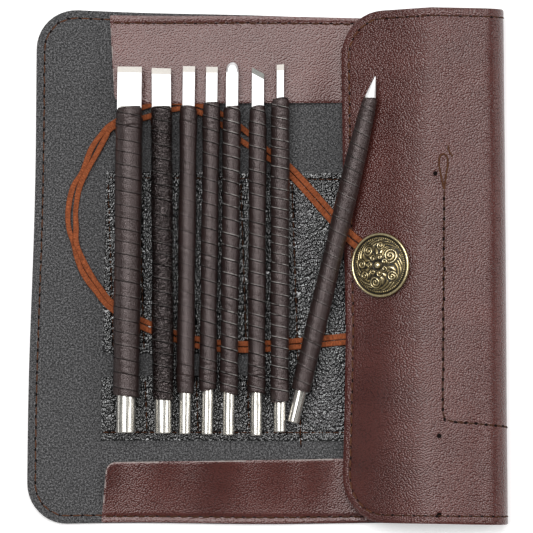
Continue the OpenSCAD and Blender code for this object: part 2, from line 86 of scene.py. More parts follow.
def smooth_curve(points, steps=8):
    """Catmull-Rom curve through the points. Any number of columns."""
    p = np.asarray(points, float)
    p = vstack([2 * p[0] - p[1], p, 2 * p[-1] - p[-2]])
    t = arange(steps)[:, None] / steps
    parts = []
    for a, b, c, d in zip(p[:-3], p[1:-2], p[2:-1], p[3:]):
        cubic = (3 * b - a - 3 * c + d) * t ** 3
        square = (2 * a - 5 * b + 4 * c - d) * t ** 2
        parts.append(0.5 * (2 * b + (c - a) * t + square + cubic))
    return vstack(parts + [p[-2][None]])


def along_line(points, pitch):
    """Places one pitch apart on a line of (s, y) points, and the direction at each."""
    p = np.asarray(points, float)
    run = run_along(p)
    count = max(1, int(round(run[-1] / pitch)))
    at = (arange(count) + 0.5) * run[-1] / count

    def spot(r):
        return join(interp(r, run, p[:, 0]), interp(r, run, p[:, 1]))

    return spot(at), unit(spot(at + 0.4) - spot(at - 0.4))


def make_piece(name, points, quads, materials, slots=None, uv=None, normals=None, fields=None):
    """A mesh from millimetre points and four-cornered faces. Unused points are dropped."""
    used, quads = np.unique(quads, return_inverse=True)
    quads = quads.reshape(-1, 4)
    points = points.reshape(-1, 3)[used] * MM
    mesh = bpy.data.meshes.new(name)
    mesh.vertices.add(len(points))
    mesh.vertices.foreach_set("co", points.ravel())
    mesh.loops.add(quads.size)
    mesh.loops.foreach_set("vertex_index", quads.ravel().astype(np.int32))
    mesh.polygons.add(len(quads))
    mesh.polygons.foreach_set("loop_start", arange(0, quads.size, 4, dtype=np.int32))
    mesh.update(calc_edges=True)
    mesh.polygons.foreach_set("use_smooth", np.ones(len(quads), bool))
    for material in materials:
        mesh.materials.append(material)
    if slots is not None:
        mesh.polygons.foreach_set("material_index", np.asarray(slots, np.int32))
    if uv is not None:
        layer = mesh.uv_layers.new(name="UVMap")
        layer.data.foreach_set("uv", uv.reshape(-1, 2)[used][quads.ravel()].ravel())
    for field, values in (fields or {}).items():
        attribute = mesh.attributes.new(field, "FLOAT", "POINT")
        attribute.data.foreach_set("value", values.ravel()[used].astype(np.float32))
    mesh.validate()
    if normals is not None:
        mesh.normals_split_custom_set_from_vertices(normals[used].tolist())
    return show(name, mesh)


def show(name, data):
    """A new object in the scene."""
    thing = bpy.data.objects.new(name, data)
    bpy.context.scene.collection.objects.link(thing)
    return thing


def settle(piece, body, slot, *nodes):
    """The piece rides on a body and stands in for CAD nodes. The slot argument is not used."""
    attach(piece, body)
    if nodes:
        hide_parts(*nodes)


def tube_quads(rings, around, closed=True, start=0):
    """Faces of a grid of rings. Each ring has the same number of points around."""
    i, j = np.meshgrid(arange(rings - 1), arange(around if closed else around - 1), indexing="ij")
    low, high, k = i * around, (i + 1) * around, (j + 1) % around
    return start + join(low + j, low + k, high + k, high + j).reshape(-1, 4)


def sweep(name, centre, side, up, profile, material):
    """A closed cross-section, given as (side, up) pairs per ring, carried along a centre line."""
    rings, around = profile.shape[:2]
    points = centre[:, None] + profile[..., :1] * side[:, None] + profile[..., 1:] * up[:, None]
    uv = join(run_along(centre)[:, None] / 100, linspace(0, 1, around, endpoint=False))
    return make_piece(name, points, tube_quads(rings, around), [material], uv=uv)


# ---- materials
class Nodes:
    """Short calls for building a procedural material."""

    def __init__(self, name):
        self.material = bpy.data.materials.new(name)
        self.material.use_nodes = True
        self.tree = self.material.node_tree
        self.surface = self.tree.nodes["Principled BSDF"]
        self.at = self.uv()

    def add(self, kind, **inputs):
        """A new node. Names starting with _ are its settings, the others its inputs."""
        node = self.tree.nodes.new("ShaderNode" + kind)
        for key, value in inputs.items():
            if key.startswith("_"):
                setattr(node, key[1:], value)
            else:
                self.put(node.inputs[key.replace("__", " ")], value)
        return node

    def put(self, socket, value):
        if isinstance(value, bpy.types.NodeSocket):
            self.tree.links.new(value, socket)
        else:
            socket.default_value = value

    def finish(self, colour, rough, bump=None, specular=0.5, tint=(1, 1, 1), **inputs):
        """Sets the surface. bump is a height, a strength and a distance in metres."""
        inputs.update(Base__Color=colour, Roughness=rough)
        inputs.update(Specular__IOR__Level=specular, Specular__Tint=(*tint, 1))
        if bump:
            height, strength, distance = bump
            bent = self.add("Bump", Height=height, Strength=strength, Distance=distance)
            inputs["Normal"] = bent.outputs["Normal"]
        for key, value in inputs.items():
            self.put(self.surface.inputs[key.replace("__", " ")], value)
        return self.material

    def uv(self, scale=(1, 1, 1), turn=0.0):
        coordinates = self.add("TexCoord").outputs["UV"]
        return self.add("Mapping", Vector=coordinates, Scale=scale, Rotation=(0, 0, turn)).outputs[0]

    def noise(self, at, scale, detail=3.0, rough=0.5, bent=0.0):
        node = self.add("TexNoise", Vector=at, Scale=scale, Detail=detail, Roughness=rough, Distortion=bent)
        return node.outputs["Fac"]

    def cells(self, at, scale, feature="F1"):
        node = self.add("TexVoronoi", _voronoi_dimensions="2D", _feature=feature, Vector=at, Scale=scale)
        return node.outputs["Distance"]

    def field(self, name):
        """A value stored on the mesh's points."""
        return self.add("Attribute", _attribute_name=name).outputs["Fac"]

    def ramp(self, value, *stops):
        node = self.add("ValToRGB", Fac=value)
        elements = node.color_ramp.elements
        while len(elements) < len(stops):
            elements.new(0.5)
        for element, (place, colour) in zip(elements, stops):
            element.position = place
            element.color = (*colour, 1) if isinstance(colour, tuple) else (colour, colour, colour, 1)
        return node.outputs["Color"]

    def math(self, kind, a, b):
        node = self.add("Math", _operation=kind)
        self.put(node.inputs[0], a)
        self.put(node.inputs[1], b)
        return node.outputs[0]

    def mix(self, share, a, b, kind="MIX"):
        node = self.add("MixRGB", _blend_type=kind, Fac=share)
        for socket, value in ((node.inputs["Color1"], a), (node.inputs["Color2"], b)):
            self.put(socket, (*value, 1) if isinstance(value, tuple) else value)
        return node.outputs["Color"]

    def darken(self, share, colour, shade):
        return self.mix(share, colour, shade, "MULTIPLY")

    def warped(self, at, scale, amount):
        """Coordinates pushed about by a noise."""
        push = self.add("TexNoise", Vector=at, Scale=scale, Detail=2.0).outputs["Color"]
        return self.mix(amount, at, push, "ADD")


def shaded(colour, shade):
    return tuple(shade * part for part in colour)


def brown_leather(name, grain):
    n = Nodes(name)
    at = n.uv((1, 1.35, 1), 0.5)
    bent = n.warped(at, 30, 0.004)
    pebbles = n.ramp(n.cells(bent, 104), (0.0, 1.0), (0.78, 0.0))
    tone = n.ramp(n.noise(at, 3.2, 4, 0.6), (0.3, (0.058, 0.014, 0.0112)), (0.7, (0.089, 0.023, 0.0185)))
    # Painted shade: the colour is darkened in the creases between the grain's pebbles.
    colour = n.darken(0.6, tone, n.ramp(pebbles, (0.1, 0.3), (0.6, 1.0)))
    rough = n.ramp(n.noise(at, 14, 4), (0.3, 0.21), (0.7, 0.26))
    height = n.mix(0.2, pebbles, n.noise(bent, 130, 2))
    return n.finish(colour, rough, (height, grain, 0.0004), 0.66, (1.0, 0.86, 0.84))


def raw_edge(name, shade):
    n = Nodes(name)
    fibres = n.noise(n.at, 120, 4, 0.7)
    dark, light = shaded((0.16, 0.11, 0.10), shade), shaded((0.42, 0.36, 0.34), shade)
    colour = n.ramp(fibres, (0.3, dark), (0.6, light))
    return n.finish(colour, 0.85, (fibres, 0.6, 0.0002))


def suede_lining():
    n = Nodes("suede_lining")
    nap = n.noise(n.at, 120, 3, 0.8)
    fleck = n.noise(n.at, 250, 2, 0.7)
    tone = n.ramp(n.mix(0.4, nap, fleck), (0.42, (0.018, 0.018, 0.0185)), (0.50, (0.060, 0.0595, 0.0610)),
                  (0.58, (0.205, 0.203, 0.206)))
    colour = n.darken(0.35, tone, n.ramp(n.noise(n.at, 7, 4, 0.65), (0.3, 0.6), (0.7, 1.0)))
    return n.finish(colour, 0.95, (nap, 0.8, 0.0006), 0.15)


def pebbled_leather():
    n = Nodes("pebbled_leather")
    fine = n.noise(n.at, 210, 3)
    colour = n.ramp(fine, (0.3, (0.002, 0.002, 0.002)), (0.7, (0.006, 0.006, 0.0062)))
    return n.finish(colour, 0.18, (fine, 0.12, 0.0002), 0.9, Coat__Weight=0.4, Coat__Roughness=0.1)


def sewing_thread(name, shade):
    n = Nodes(name)
    wave = n.add("TexWave", _bands_direction="DIAGONAL", Vector=n.at, Scale=95.0, Distortion=1.0)
    twist = wave.outputs["Fac"]
    dark, light = shaded((0.060, 0.024, 0.013), shade), shaded((0.190, 0.082, 0.044), shade)
    colour = n.ramp(twist, (0.2, dark), (0.8, light))
    return n.finish(colour, 0.9, (twist, 0.5, 0.0002), 0.05)


# Painted shade: a near-black colour for the needle holes between stitches and the bottoms of the punched marks, which
# are dark because they lie in shade.
def hole_shade():
    n = Nodes("hole_shade")
    colour = n.ramp(n.noise(n.at, 300, 2), (0.3, (0.003, 0.002, 0.002)), (0.7, (0.012, 0.007, 0.006)))
    return n.finish(colour, 0.9, specular=0.05)


def suede_cord():
    n = Nodes("suede_cord")
    nap = n.noise(n.uv((1, 0.06, 1)), 150, 4, 0.75)
    cross = n.noise(n.uv((6, 0.2, 1)), 26, 3, 0.6)
    tone = n.ramp(nap, (0.30, (0.150, 0.036, 0.012)), (0.55, (0.33, 0.090, 0.032)),
                  (0.75, (0.52, 0.165, 0.065)))
    colour = n.darken(0.7, tone, n.ramp(cross, (0.35, 0.35), (0.6, 1.0)))
    return n.finish(colour, 0.9, (nap, 0.7, 0.0004), 0.2)


def antique_brass():
    """Bright on the high places, nearly black in the hollows."""
    n = Nodes("antique_brass")
    stain = n.noise(n.add("TexCoord").outputs["Object"], 700, 4, 0.6)
    uneven = n.math("MULTIPLY", n.math("SUBTRACT", stain, 0.5), 0.6)
    worn = n.math("ADD", n.field("relief"), uneven)
    colour = n.ramp(worn, (0.18, (0.014, 0.012, 0.009)), (0.38, (0.19, 0.145, 0.068)),
                    (0.62, (0.62, 0.50, 0.25)), (0.92, (1.0, 0.89, 0.60)))
    return n.finish(colour, n.ramp(worn, (0.2, 0.50), (0.8, 0.24)), (stain, 0.2, 0.0001),
                    Metallic=n.ramp(worn, (0.15, 0.4), (0.5, 0.9)))


# Painted reflection: the near-white colour stands in for the bright light that the polished blades reflect.
def ground_steel():
    n = Nodes("ground_steel")
    brushed = n.noise(n.uv((1, 14, 1)), 120, 3, 0.6)
    colour = n.ramp(brushed, (0.3, (0.86, 0.855, 0.86)), (0.7, (0.98, 0.975, 0.97)))
    return n.finish(colour, 0.42, (brushed, 0.08, 0.0001), Metallic=0.25)


def bevel_steel(name, tint, streak):
    """A ground bevel: its pale tint, and how dark the grinding streaks are."""
    n = Nodes(name)
    brushed = n.noise(n.uv((12, 1, 1)), 90, 4, 0.7)
    colour = n.ramp(brushed, (0.3, shaded(tint, streak)), (0.6, tint))
    return n.finish(colour, 0.35, (brushed, 0.12, 0.0001), Metallic=0.3)


def plated_rod():
    n = Nodes("plated_rod")
    # Painted reflection: the dark and bright streaks running along the rod stand in for the surroundings reflected in
    # its plating.
    reflection_streaks = n.noise(n.uv((4.2, 0.5, 1)), 9, 4, 0.75)
    specks = n.noise(n.at, 120, 2, 0.7)
    colour = n.ramp(n.mix(0.22, reflection_streaks, specks), (0.41, (0.05, 0.045, 0.038)),
                    (0.46, (0.44, 0.42, 0.37)), (0.54, (0.84, 0.815, 0.76)))
    rough = n.ramp(reflection_streaks, (0.3, 0.22), (0.7, 0.3))
    return n.finish(colour, rough, (specks, 0.05, 0.00005), Metallic=0.85)


def wrap_leather(name, rough, crinkle, shade, glossy=False):
    """Handle leather: fields on the mesh tell where a turn starts, its frayed edge, pale partly from a painted
    highlight, and the painted shade in its seam.
    """
    n = Nodes(name)
    grain = n.ramp(n.cells(n.warped(n.at, 40, 0.01), 120, "DISTANCE_TO_EDGE"), (0.0, 0.0), (0.3, 1.0))
    folds = n.noise(n.uv((0.9, 2.8, 1), -0.3), 48, 2, 0.5, 0.6)
    height = n.mix(0.92 if glossy else 0.3, n.mix(0.5, grain, n.noise(n.at, 180, 3)), folds)
    turn = n.field("turn")
    # Pale edge where each turn starts: partly the strip's frayed raw edge, partly a painted highlight on it.
    patchy = n.ramp(n.noise(n.at, 30, 3), (0.38, 0.1), (0.56, 1.0))
    first = n.ramp(turn, (0.0, 1.0), (0.06, 1.0), (0.085, 0.0))
    edge = n.math("MULTIPLY", first, n.math("MULTIPLY", patchy, n.field("frayed")))
    # Painted shade: each seam is darkened in colour and in specular where the next turn overlaps it; the seam field
    # sets how much.
    seam_shade = n.ramp(turn, (0.0, 0.65), (0.07, 1.0), (0.89, 1.0), (0.96, 0.03))
    dark = n.mix(n.field("seam"), (1.0, 1.0, 1.0), seam_shade)
    tone = n.ramp(n.noise(n.at, 7, 4), (0.3, shaded((0.024, 0.0122, 0.0110), shade)),
                  (0.7, shaded((0.041, 0.0215, 0.0195), shade)))
    # Painted shade: the colour is darkened along the edges of the grain's cells, in its creases.
    grain_crease_shaded = n.darken(0.35, tone, n.ramp(grain, (0.0, 0.3), (0.7, 1.0)))
    colour = n.mix(edge, n.darken(1.0, grain_crease_shaded, dark), (0.26, 0.25, 0.235))
    return n.finish(colour, rough, (height, crinkle, 0.0016 if glossy else 0.0003),
                    n.math("MULTIPLY", dark, 1.0 if glossy else 0.74), (1.0, 0.86, 0.85))


LEATHER = brown_leather("brown_leather", 0.54)
GUARD_LEATHER = brown_leather("guard_leather", 0.32)
EDGE = raw_edge("raw_edge", 0.28)
EDGE_PALE = raw_edge("raw_edge_pale", 0.9)
SUEDE = suede_lining()
PEBBLE = pebbled_leather()
THREAD = sewing_thread("thread", 0.8)
THREAD_DARK = sewing_thread("thread_dark", 0.46)
HOLE_SHADE = hole_shade()
CORD = suede_cord()
BRASS = antique_brass()
STEEL = ground_steel()
BEVEL = bevel_steel("bevel_steel", (0.95, 0.90, 0.83), 0.82)
BEVEL_GREY = bevel_steel("bevel_steel_grey", (0.40, 0.41, 0.38), 0.5)
ROD = plated_rod()
WRAP = wrap_leather("wrap_leather", 0.32, 0.6, 0.56)
WRAP_GLOSSY = wrap_leather("wrap_leather_glossy", 0.15, 0.95, 0.2, glossy=True)


# ---- the sheet's path
# The sheet is followed along its outer face. Distance 0 is where the fold starts.
FOLD_X = 101.8
FOLD_R = 10.5
CREST_X = 77.0
CREST_R = 38.0
FREE_EDGE_X = 36.0
RISE = math.radians(6)
SLOPE = math.radians(28)
LEATHER_T = 1.1
SHEET_T = 1.8
SHEET_MIDDLE = 1.4
FOLD_TURN = pi - RISE
FOLD_END_X = FOLD_X + FOLD_R * sin(FOLD_TURN)
PATH_STEP = 0.05


def path_stops():
    """Distances where the fold ends, the crest starts, the slope starts and the sheet ends."""
    rise = (FOLD_END_X - CREST_X - CREST_R * sin(RISE)) / cos(RISE)
    slope_x = CREST_X - CREST_R * sin(SLOPE)
    slope = (slope_x - FREE_EDGE_X) / cos(SLOPE)
    return np.cumsum([FOLD_R * FOLD_TURN, rise, CREST_R * (RISE + SLOPE), slope])


def follow(rates):
    """Running total of a rate of travel along the sheet, 0 far out on the flat part."""
    return np.concatenate([[0], np.cumsum((rates[1:] + rates[:-1]) * PATH_STEP / 2)])


S_FOLD, S_CREST, S_SLOPE, S_EDGE = path_stops()
ALONG = arange(-260, 140, PATH_STEP)
SHARP = interp(ALONG, [0, S_FOLD, S_CREST, S_SLOPE], [0, FOLD_TURN, FOLD_TURN, pi + SLOPE])
HEADING = np.convolve(np.pad(SHARP, 30, mode="edge"), np.full(61, 1 / 61), mode="valid")
PATH_X = follow(cos(HEADING)) + ALONG[0] + FOLD_X
PATH_Z = follow(sin(HEADING))


def swell(s, y):
    """How far the sheet strays from its smooth path, toward the lining side."""
    x = s + FOLD_X
    flat = 1 - ease(s, -16, 0)
    waves = 0.26 + 0.14 * sin(x / 19 + y / 31) + 0.11 * sin(x / 37 - y / 15 + 1)
    corners = 1.5 * ease(-x, 84, 113) * ease(abs(y), 50, 121) + 0.4 * ease(-x, 96, 113)
    flap = ease(s, 6, 40)
    slow = 0.5 * sin(y / 36 + 0.9) * sin((s - 30) / 21) + 0.3 * sin(s / 6.5 + y / 45) * ease(s, 30, 44)
    quick = 0.16 * sin(y / 11 + s / 14) * ease(abs(y), 20, 110)
    curl = 0.45 * clip((s - S_EDGE + 8) / 8, 0, 1.4) ** 2
    top = (S_CREST + S_SLOPE) / 2
    crest = ease(s, S_FOLD, top) * (1 - ease(s, top, S_EDGE)) * clip((y + 10) / 80, -1, 1.5)
    return flat * (waves + corners) + flap * (slow + quick) + 1.1 * crest - curl


def place(s, y, depth):
    """Point at distance s along the sheet, at y, at a depth under the sheet's outer face."""
    turn = interp(s, ALONG, HEADING)
    inward = depth + swell(s, y)
    lean = 0.0087 * ease(s, -25, 2) * (1 - ease(s, S_FOLD - 6, S_CREST))
    left_wave = 0.45 * sin(y / 29 + 0.4) * ease(-s - FOLD_X, 84, 112)
    edge_wave = 0.3 * sin(s / 19 + 0.7) * clip(y / 121, -1.05, 1.05) ** 7
    x = interp(s, ALONG, PATH_X) - sin(turn) * inward - lean * y + left_wave
    return join(x, y + edge_wave, interp(s, ALONG, PATH_Z) + cos(turn) * inward)


def flap_s(x):
    """Distance along the sheet of a place on the flap's slope."""
    return S_EDGE + (FREE_EDGE_X - x) / cos(SLOPE)


def rise_s(x):
    """Distance along the sheet of a place between the fold and the crest."""
    return S_FOLD + (FOLD_END_X - x) / cos(RISE)


# ---- outlines
def rounded(corners, steps=10):
    """Outline from (s, y, radius) corners, anticlockwise."""
    c = np.array(corners, float)
    out = []
    for before, here, after in zip(np.roll(c, 1, 0), c, np.roll(c, -1, 0)):
        p, r = here[:2], here[2]
        if r == 0:
            out.append(p[None])
            continue
        u, v = unit(before[:2] - p), unit(after[:2] - p)
        half = math.acos(float(clip(u @ v, -1, 1))) / 2
        centre = p + unit(u + v) * r / sin(half)
        first, last = p + u * r / math.tan(half) - centre, p + v * r / math.tan(half) - centre
        start = math.atan2(first[1], first[0])
        turn = math.atan2(first[0] * last[1] - first[1] * last[0], first @ last)
        a = start + turn * linspace(0, 1, steps + 1)
        out.append(centre + r * join(cos(a), sin(a)))
    return vstack(out)


def inside_distance(s, y, outline):
    """Distance to an outline, positive inside it."""
    best = np.full(s.shape, 1e9)
    inside = np.zeros(s.shape, bool)
    for (s0, y0), (s1, y1) in zip(outline, np.roll(outline, -1, axis=0)):
        ds, dy = s1 - s0, y1 - y0
        share = clip(((s - s0) * ds + (y - y0) * dy) / (ds * ds + dy * dy), 0, 1)
        best = np.minimum(best, np.hypot(s - s0 - share * ds, y - y0 - share * dy))
        if y1 != y0:
            inside ^= ((y0 > y) != (y1 > y)) & (s < s0 + (y - y0) * ds / dy)
    return np.where(inside, best, -best)


def inset_outline(outline, distance):
    """The outline moved inward."""
    before, after = unit(outline - np.roll(outline, 1, 0)), unit(np.roll(outline, -1, 0) - outline)
    m, k = join(-before[:, 1], before[:, 0]), join(-after[:, 1], after[:, 0])
    return outline + (m + k) * distance / (1 + np.sum(m * k, axis=1, keepdims=True))


SHEET_OUTLINE = rounded([
    (-113 - FOLD_X, -121, 18.8), (0, -121, 0), (S_CREST, -120.4, 0), (flap_s(35.4), -120.4, 22),
    (flap_s(37.2), -30, 0), (flap_s(35.1), 119.2, 22), (S_CREST + 4, 121.4, 0), (0, 119.6, 0),
    (FREE_EDGE_X - FOLD_X, 116.6, 0), (-107.4 - FOLD_X, 121.3, 18.8)])


# ---- sections of the sheet
def section(name, s0, s1, bodies, bend=None, node=None):
    """A stretch of the sheet between two distances, and the one or two bodies it belongs to."""
    bend = bend or (s0 + 1.6, s1 - 1.6)
    return {"name": name, "span": (s0, s1), "bodies": bodies, "bend": bend, "node": node}


LEFT_CUT = -76.0 - FOLD_X
FLAT_END = -1.0
FLAP_START = S_FOLD + 1.6
EIGHTH = FOLD_R * pi / 4
SECTIONS = [
    section("left", -222, LEFT_CUT, ("left_margin", "main"), (-105.1 - FOLD_X, -76.5 - FOLD_X), "left"),
    section("main", LEFT_CUT, FLAT_END, ("main",), node="main"),
    section("turn_a", FLAT_END, EIGHTH, ("main", "spine_a"), node="spine_a"),
    section("turn_b", EIGHTH, 2 * EIGHTH, ("spine_a", "spine_b"), node="spine_b"),
    section("turn_c", 2 * EIGHTH, 3 * EIGHTH, ("spine_b", "spine_c"), node="spine_c"),
    section("turn_d", 3 * EIGHTH, FLAP_START, ("spine_c", "flap")),
    section("flap", FLAP_START, S_EDGE + 3, ("flap",), node="flap")]


def carry(piece, part, slot, kind=None):
    """The piece rides on its section's body when the section has only one; a piece of a section between two bodies
    stays where it is. kind begins the CAD node's name.
    """
    if len(part["bodies"]) == 1:
        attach(piece, part["bodies"][0])
    else:
        start, end = (Vector(place(s, 0.0, SHEET_MIDDLE) * MM) for s in part["bend"])
        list(part["bodies"])
        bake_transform(piece)
        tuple(start)
        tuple(end)
    if kind and part["node"]:
        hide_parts(kind + part["node"])


def section_at(s):
    return next(p for p in SECTIONS if s < p["span"][1] or p is SECTIONS[-1])


# ---- slabs of leather
def slab(name, span, reach, step, outline, layer, materials, holes=(), pale_rim=(0, 0, 0)):
    """A sheet of material cut to an outline. layer() gives its outer and inner depth."""
    s_line, y_line = spaced(*span, step), spaced(*reach, step)
    s_line = np.concatenate([[2 * s_line[0] - s_line[1]], s_line, [2 * s_line[-1] - s_line[-2]]])
    s, y = np.meshgrid(s_line, y_line, indexing="ij")
    sheet_edge = inside_distance(s, y, outline)
    edge = sheet_edge
    for hole in holes:
        edge = np.minimum(edge, -inside_distance(s, y, hole))
    # Points round the kept faces are moved onto the outline.
    middle = (edge[:-1, :-1] + edge[1:, :-1] + edge[1:, 1:] + edge[:-1, 1:]) / 4
    kept = middle > 0
    padded = np.pad(kept, 1, mode="edge")
    corners = join(padded[:-1, :-1], padded[1:, :-1], padded[:-1, 1:], padded[1:, 1:])
    around = corners.any(-1) & ~corners.all(-1)
    slope_s, slope_y = np.gradient(edge, s_line, y_line)
    steep = np.maximum(slope_s ** 2 + slope_y ** 2, 0.3)
    cut = np.zeros(s.shape, bool)
    cut[[0, 1, -2, -1]] = True
    cut &= abs(slope_y) > 0.5
    s = np.where(around & ~cut, s - edge * slope_s / steep, s)
    y = np.where(around, y - np.where(cut, edge / np.where(cut, slope_y, 1), edge * slope_y / steep), y)
    edge = np.where(around, 0, np.maximum(edge, 0))
    # The outer face, the inner face, and the same points again for the walls between them.
    outer, inner = layer(s, y, edge, np.maximum(sheet_edge, 0))
    low, high = place(s, y, outer), place(s, y, inner)
    normals = []
    for points, sign in ((low, -1), (high, 1)):
        across = np.cross(np.gradient(points, axis=0), np.gradient(points, axis=1))
        normals.append(sign * unit(across).reshape(-1, 3))
    count = s.size
    number = arange(count).reshape(s.shape)
    a, b, c, d = number[:-1, :-1], number[1:, :-1], number[1:, 1:], number[:-1, 1:]
    shown = kept.copy()
    shown[[0, -1]] = False
    faces = [join(a, b, c, d)[shown] + count, join(d, c, b, a)[shown]]
    for p, q, near in ((d, a, padded[:-2, 1:-1]), (a, b, padded[1:-1, :-2]),
                       (b, c, padded[2:, 1:-1]), (c, d, padded[1:-1, 2:])):
        p, q = p[shown & ~near], q[shown & ~near]
        faces.append(join(p + 2 * count, q + 2 * count, q + 3 * count, p + 3 * count))
    quads = vstack(faces)
    width, y_low, y_high = pale_rim
    middle_y = (y[:-1, :-1] + y[1:, 1:]) / 2
    slots = np.full(len(quads), len(materials) - 1)
    slots[:len(faces[0])] = ((middle < width) & (middle_y > y_low) & (middle_y < y_high))[shown]
    slots[len(faces[0]):2 * len(faces[0])] = 0
    flat_uv = join(s, y).reshape(-1, 2) / 100
    side_uv = [join((s + y).ravel() / 100, t.ravel() / 30) for t in (outer, inner)]
    uv = vstack([flat_uv, flat_uv, *side_uv])
    normals.append(np.zeros((count * 2, 3)))
    return make_piece(name, np.stack([low, high] * 2), quads, materials, slots, uv, vstack(normals))


STITCH_INSET = 3.8
SHEET_REACH = (-122.5, 123.5)

# Spacing of a sheet's points.
COARSE, MEDIUM, FINE = 1.4, 1.2, 0.8


def layer_between(outer, inner, soft=0.9):
    """A layer of even thickness with softened edges, pulled in along the stitching."""

    def layer(s, y, edge, sheet_edge):
        t = clip(edge / soft, 0, 1)
        thin = (1 - np.sqrt(1 - (1 - t) ** 2)) * 0.28 * (inner - outer)
        puff = 0.12 * sin(pi * clip(sheet_edge / STITCH_INSET, 0, 1))
        pinch = 0.17 * ridge(sheet_edge - STITCH_INSET, 0.9)
        upper = outer + thin + (pinch - puff if outer == 0 else 0)
        lower = inner - thin - (pinch if inner == SHEET_T else 0)
        return upper, lower

    return layer


def sheet_layers():
    leather_layer, lining_layer = layer_between(0, LEATHER_T), layer_between(LEATHER_T + 0.02, SHEET_T)
    for part in SECTIONS:
        name = part["name"]
        leather_step = COARSE if name in ("left", "main") else FINE
        marks = punched_marks() if name == "flap" else ()
        for kind, step, layer, materials, holes, slot in (
                ("leather", leather_step, leather_layer, [LEATHER, EDGE], marks, "brown_leather"),
                ("lining", MEDIUM, lining_layer, [SUEDE], (), "suede_lining")):
            piece = slab(f"{name}_{kind}_sheet", part["span"], SHEET_REACH, step, SHEET_OUTLINE, layer,
                         materials, holes)
            carry(piece, part, slot, kind + "_")


# ---- punched marks in the flap
MARKS = [(79.0, 43.5), (80.6, -79.2), (80.6, -116.1)]
MARK_R = 1.15


def punched_marks():
    a = circle(14)
    return [join(rise_s(x) + MARK_R * cos(a), y + MARK_R * sin(a)) for x, y in MARKS]


def punched_mark_shade():
    """Painted shade: a near-black disc at the bottom of each punched mark, where the hole is in shade."""
    for index, (x, y) in enumerate(MARKS):
        rings = np.array([(1.5, 0.75), (1.3, 0.9), (0.9, 1.02), (0.5, 0.9), (0.02, 0.85)])
        s, v = rise_s(x) + rings[:, :1] * cos(circle(24)), y + rings[:, :1] * sin(circle(24))
        quads = tube_quads(*s.shape)[:, ::-1]
        points = place(s, v, rings[:, 1:])
        piece = make_piece(f"mark_floor_{index}", points, quads, [HOLE_SHADE], uv=join(s, v) / 100)
        settle(piece, "flap", "brown_leather")


# ---- pebbled pocket panel
POCKET_TOP = 2.9
POCKET_LEFT = -76.8
POCKET_START = -179.6
SEAM_PITCH = 24.06
SEAM_LEAN = 0.034
WINDOW_Y = -46.2


def seam_x(index, y):
    return 13.3 - index * SEAM_PITCH - SEAM_LEAN * y


def cell_pattern(s, y, size, seed):
    """Rounded cells: 1 in the middle of a pebble, 0 in the crease between two."""
    jitter = np.random.default_rng(seed).random((128, 128, 2))
    u, v = s / size, y / size
    nearest, second = np.full(s.shape, 9.0), np.full(s.shape, 9.0)
    for i in (-1, 0, 1):
        for j in (-1, 0, 1):
            cu, cv = np.floor(u) + i, np.floor(v) + j
            shift = jitter[cu.astype(int) % 128, cv.astype(int) % 128]
            distance = np.hypot(u - cu - shift[..., 0], v - cv - shift[..., 1])
            second = np.minimum(second, np.maximum(nearest, distance))
            nearest = np.minimum(nearest, distance)
    return (1 - 0.75 * nearest ** 2) * ease(second - nearest, 0.0, 0.34)


def pocket_layer(s, y, edge, sheet_edge):
    x = s + FOLD_X
    pebbles = 0.56 * cell_pattern(s + 0.2 * sin(y / 1.7), y + 0.15 * sin(s / 1.3), 1.65, 3)
    seams = sum(ridge(x - seam_x(i, y), 0.7) for i in range(4))
    rows = ridge(y - 40.9, 0.6) + ridge(y + 78.0, 0.6) + ridge(x - POCKET_LEFT - 3.6 + SEAM_LEAN * y, 0.6)
    dent = 0.32 * clip(seams + rows, 0, 1)
    between = 0.12 * cos(2 * pi * (x - seam_x(0, y)) / SEAM_PITCH)
    round_off = 0.3 * (1 - ease(edge, 0, 0.8))
    top = POCKET_TOP - 0.35 - between + pebbles - dent - round_off
    return np.full(s.shape, SHEET_T + 0.03), top


def pocket_windows():
    for i in range(4):
        s = (seam_x(i, WINDOW_Y) if i else POCKET_LEFT - 1.0) - FOLD_X
        w, h = (4.8, 5.2) if i else (6.4, 6.0)
        yield rounded([(s - w, WINDOW_Y - h, 3.6), (s + w, WINDOW_Y - h, 3.6),
                       (s + w, WINDOW_Y + h, 4.2), (s - w, WINDOW_Y + h, 4.2)], 6)


def pocket_panel():
    outline = np.array([(-78.2 - FOLD_X, -81.8), (S_CREST, -82.4), (S_CREST, 42.8),
                        (-75.4 - FOLD_X, 44.7)])
    for part in SECTIONS[1:]:
        main = part["name"] == "main"
        start, end = part["span"]
        span = (POCKET_START if main else start, min(end, S_CREST + 1))
        piece = slab(part["name"] + "_pocket_panel", span, (-83.5, 46), 0.36 if main else 0.45, outline,
                     pocket_layer, [PEBBLE], pocket_windows() if main else ())
        carry(piece, part, "pebbled_leather", "pocket_")


# ---- guard strips
GUARD_T = 1.0
GUARD_GAP = 0.04
TOP_GUARD = rounded([
    (-71.4 - FOLD_X, 76.5, 5), (41 - FOLD_X, 77.0, 0), (51 - FOLD_X, 106, 0),
    (51 - FOLD_X, 116.9, 0), (-73.7 - FOLD_X, 118.4, 0.8)])
BOTTOM_GUARD = rounded([
    (-77.7 - FOLD_X, -120.6, 0.8), (51 - FOLD_X, -120.7, 0), (51 - FOLD_X, -108, 0),
    (41 - FOLD_X, -90.3, 0), (-75.2 - FOLD_X, -92.0, 5)])


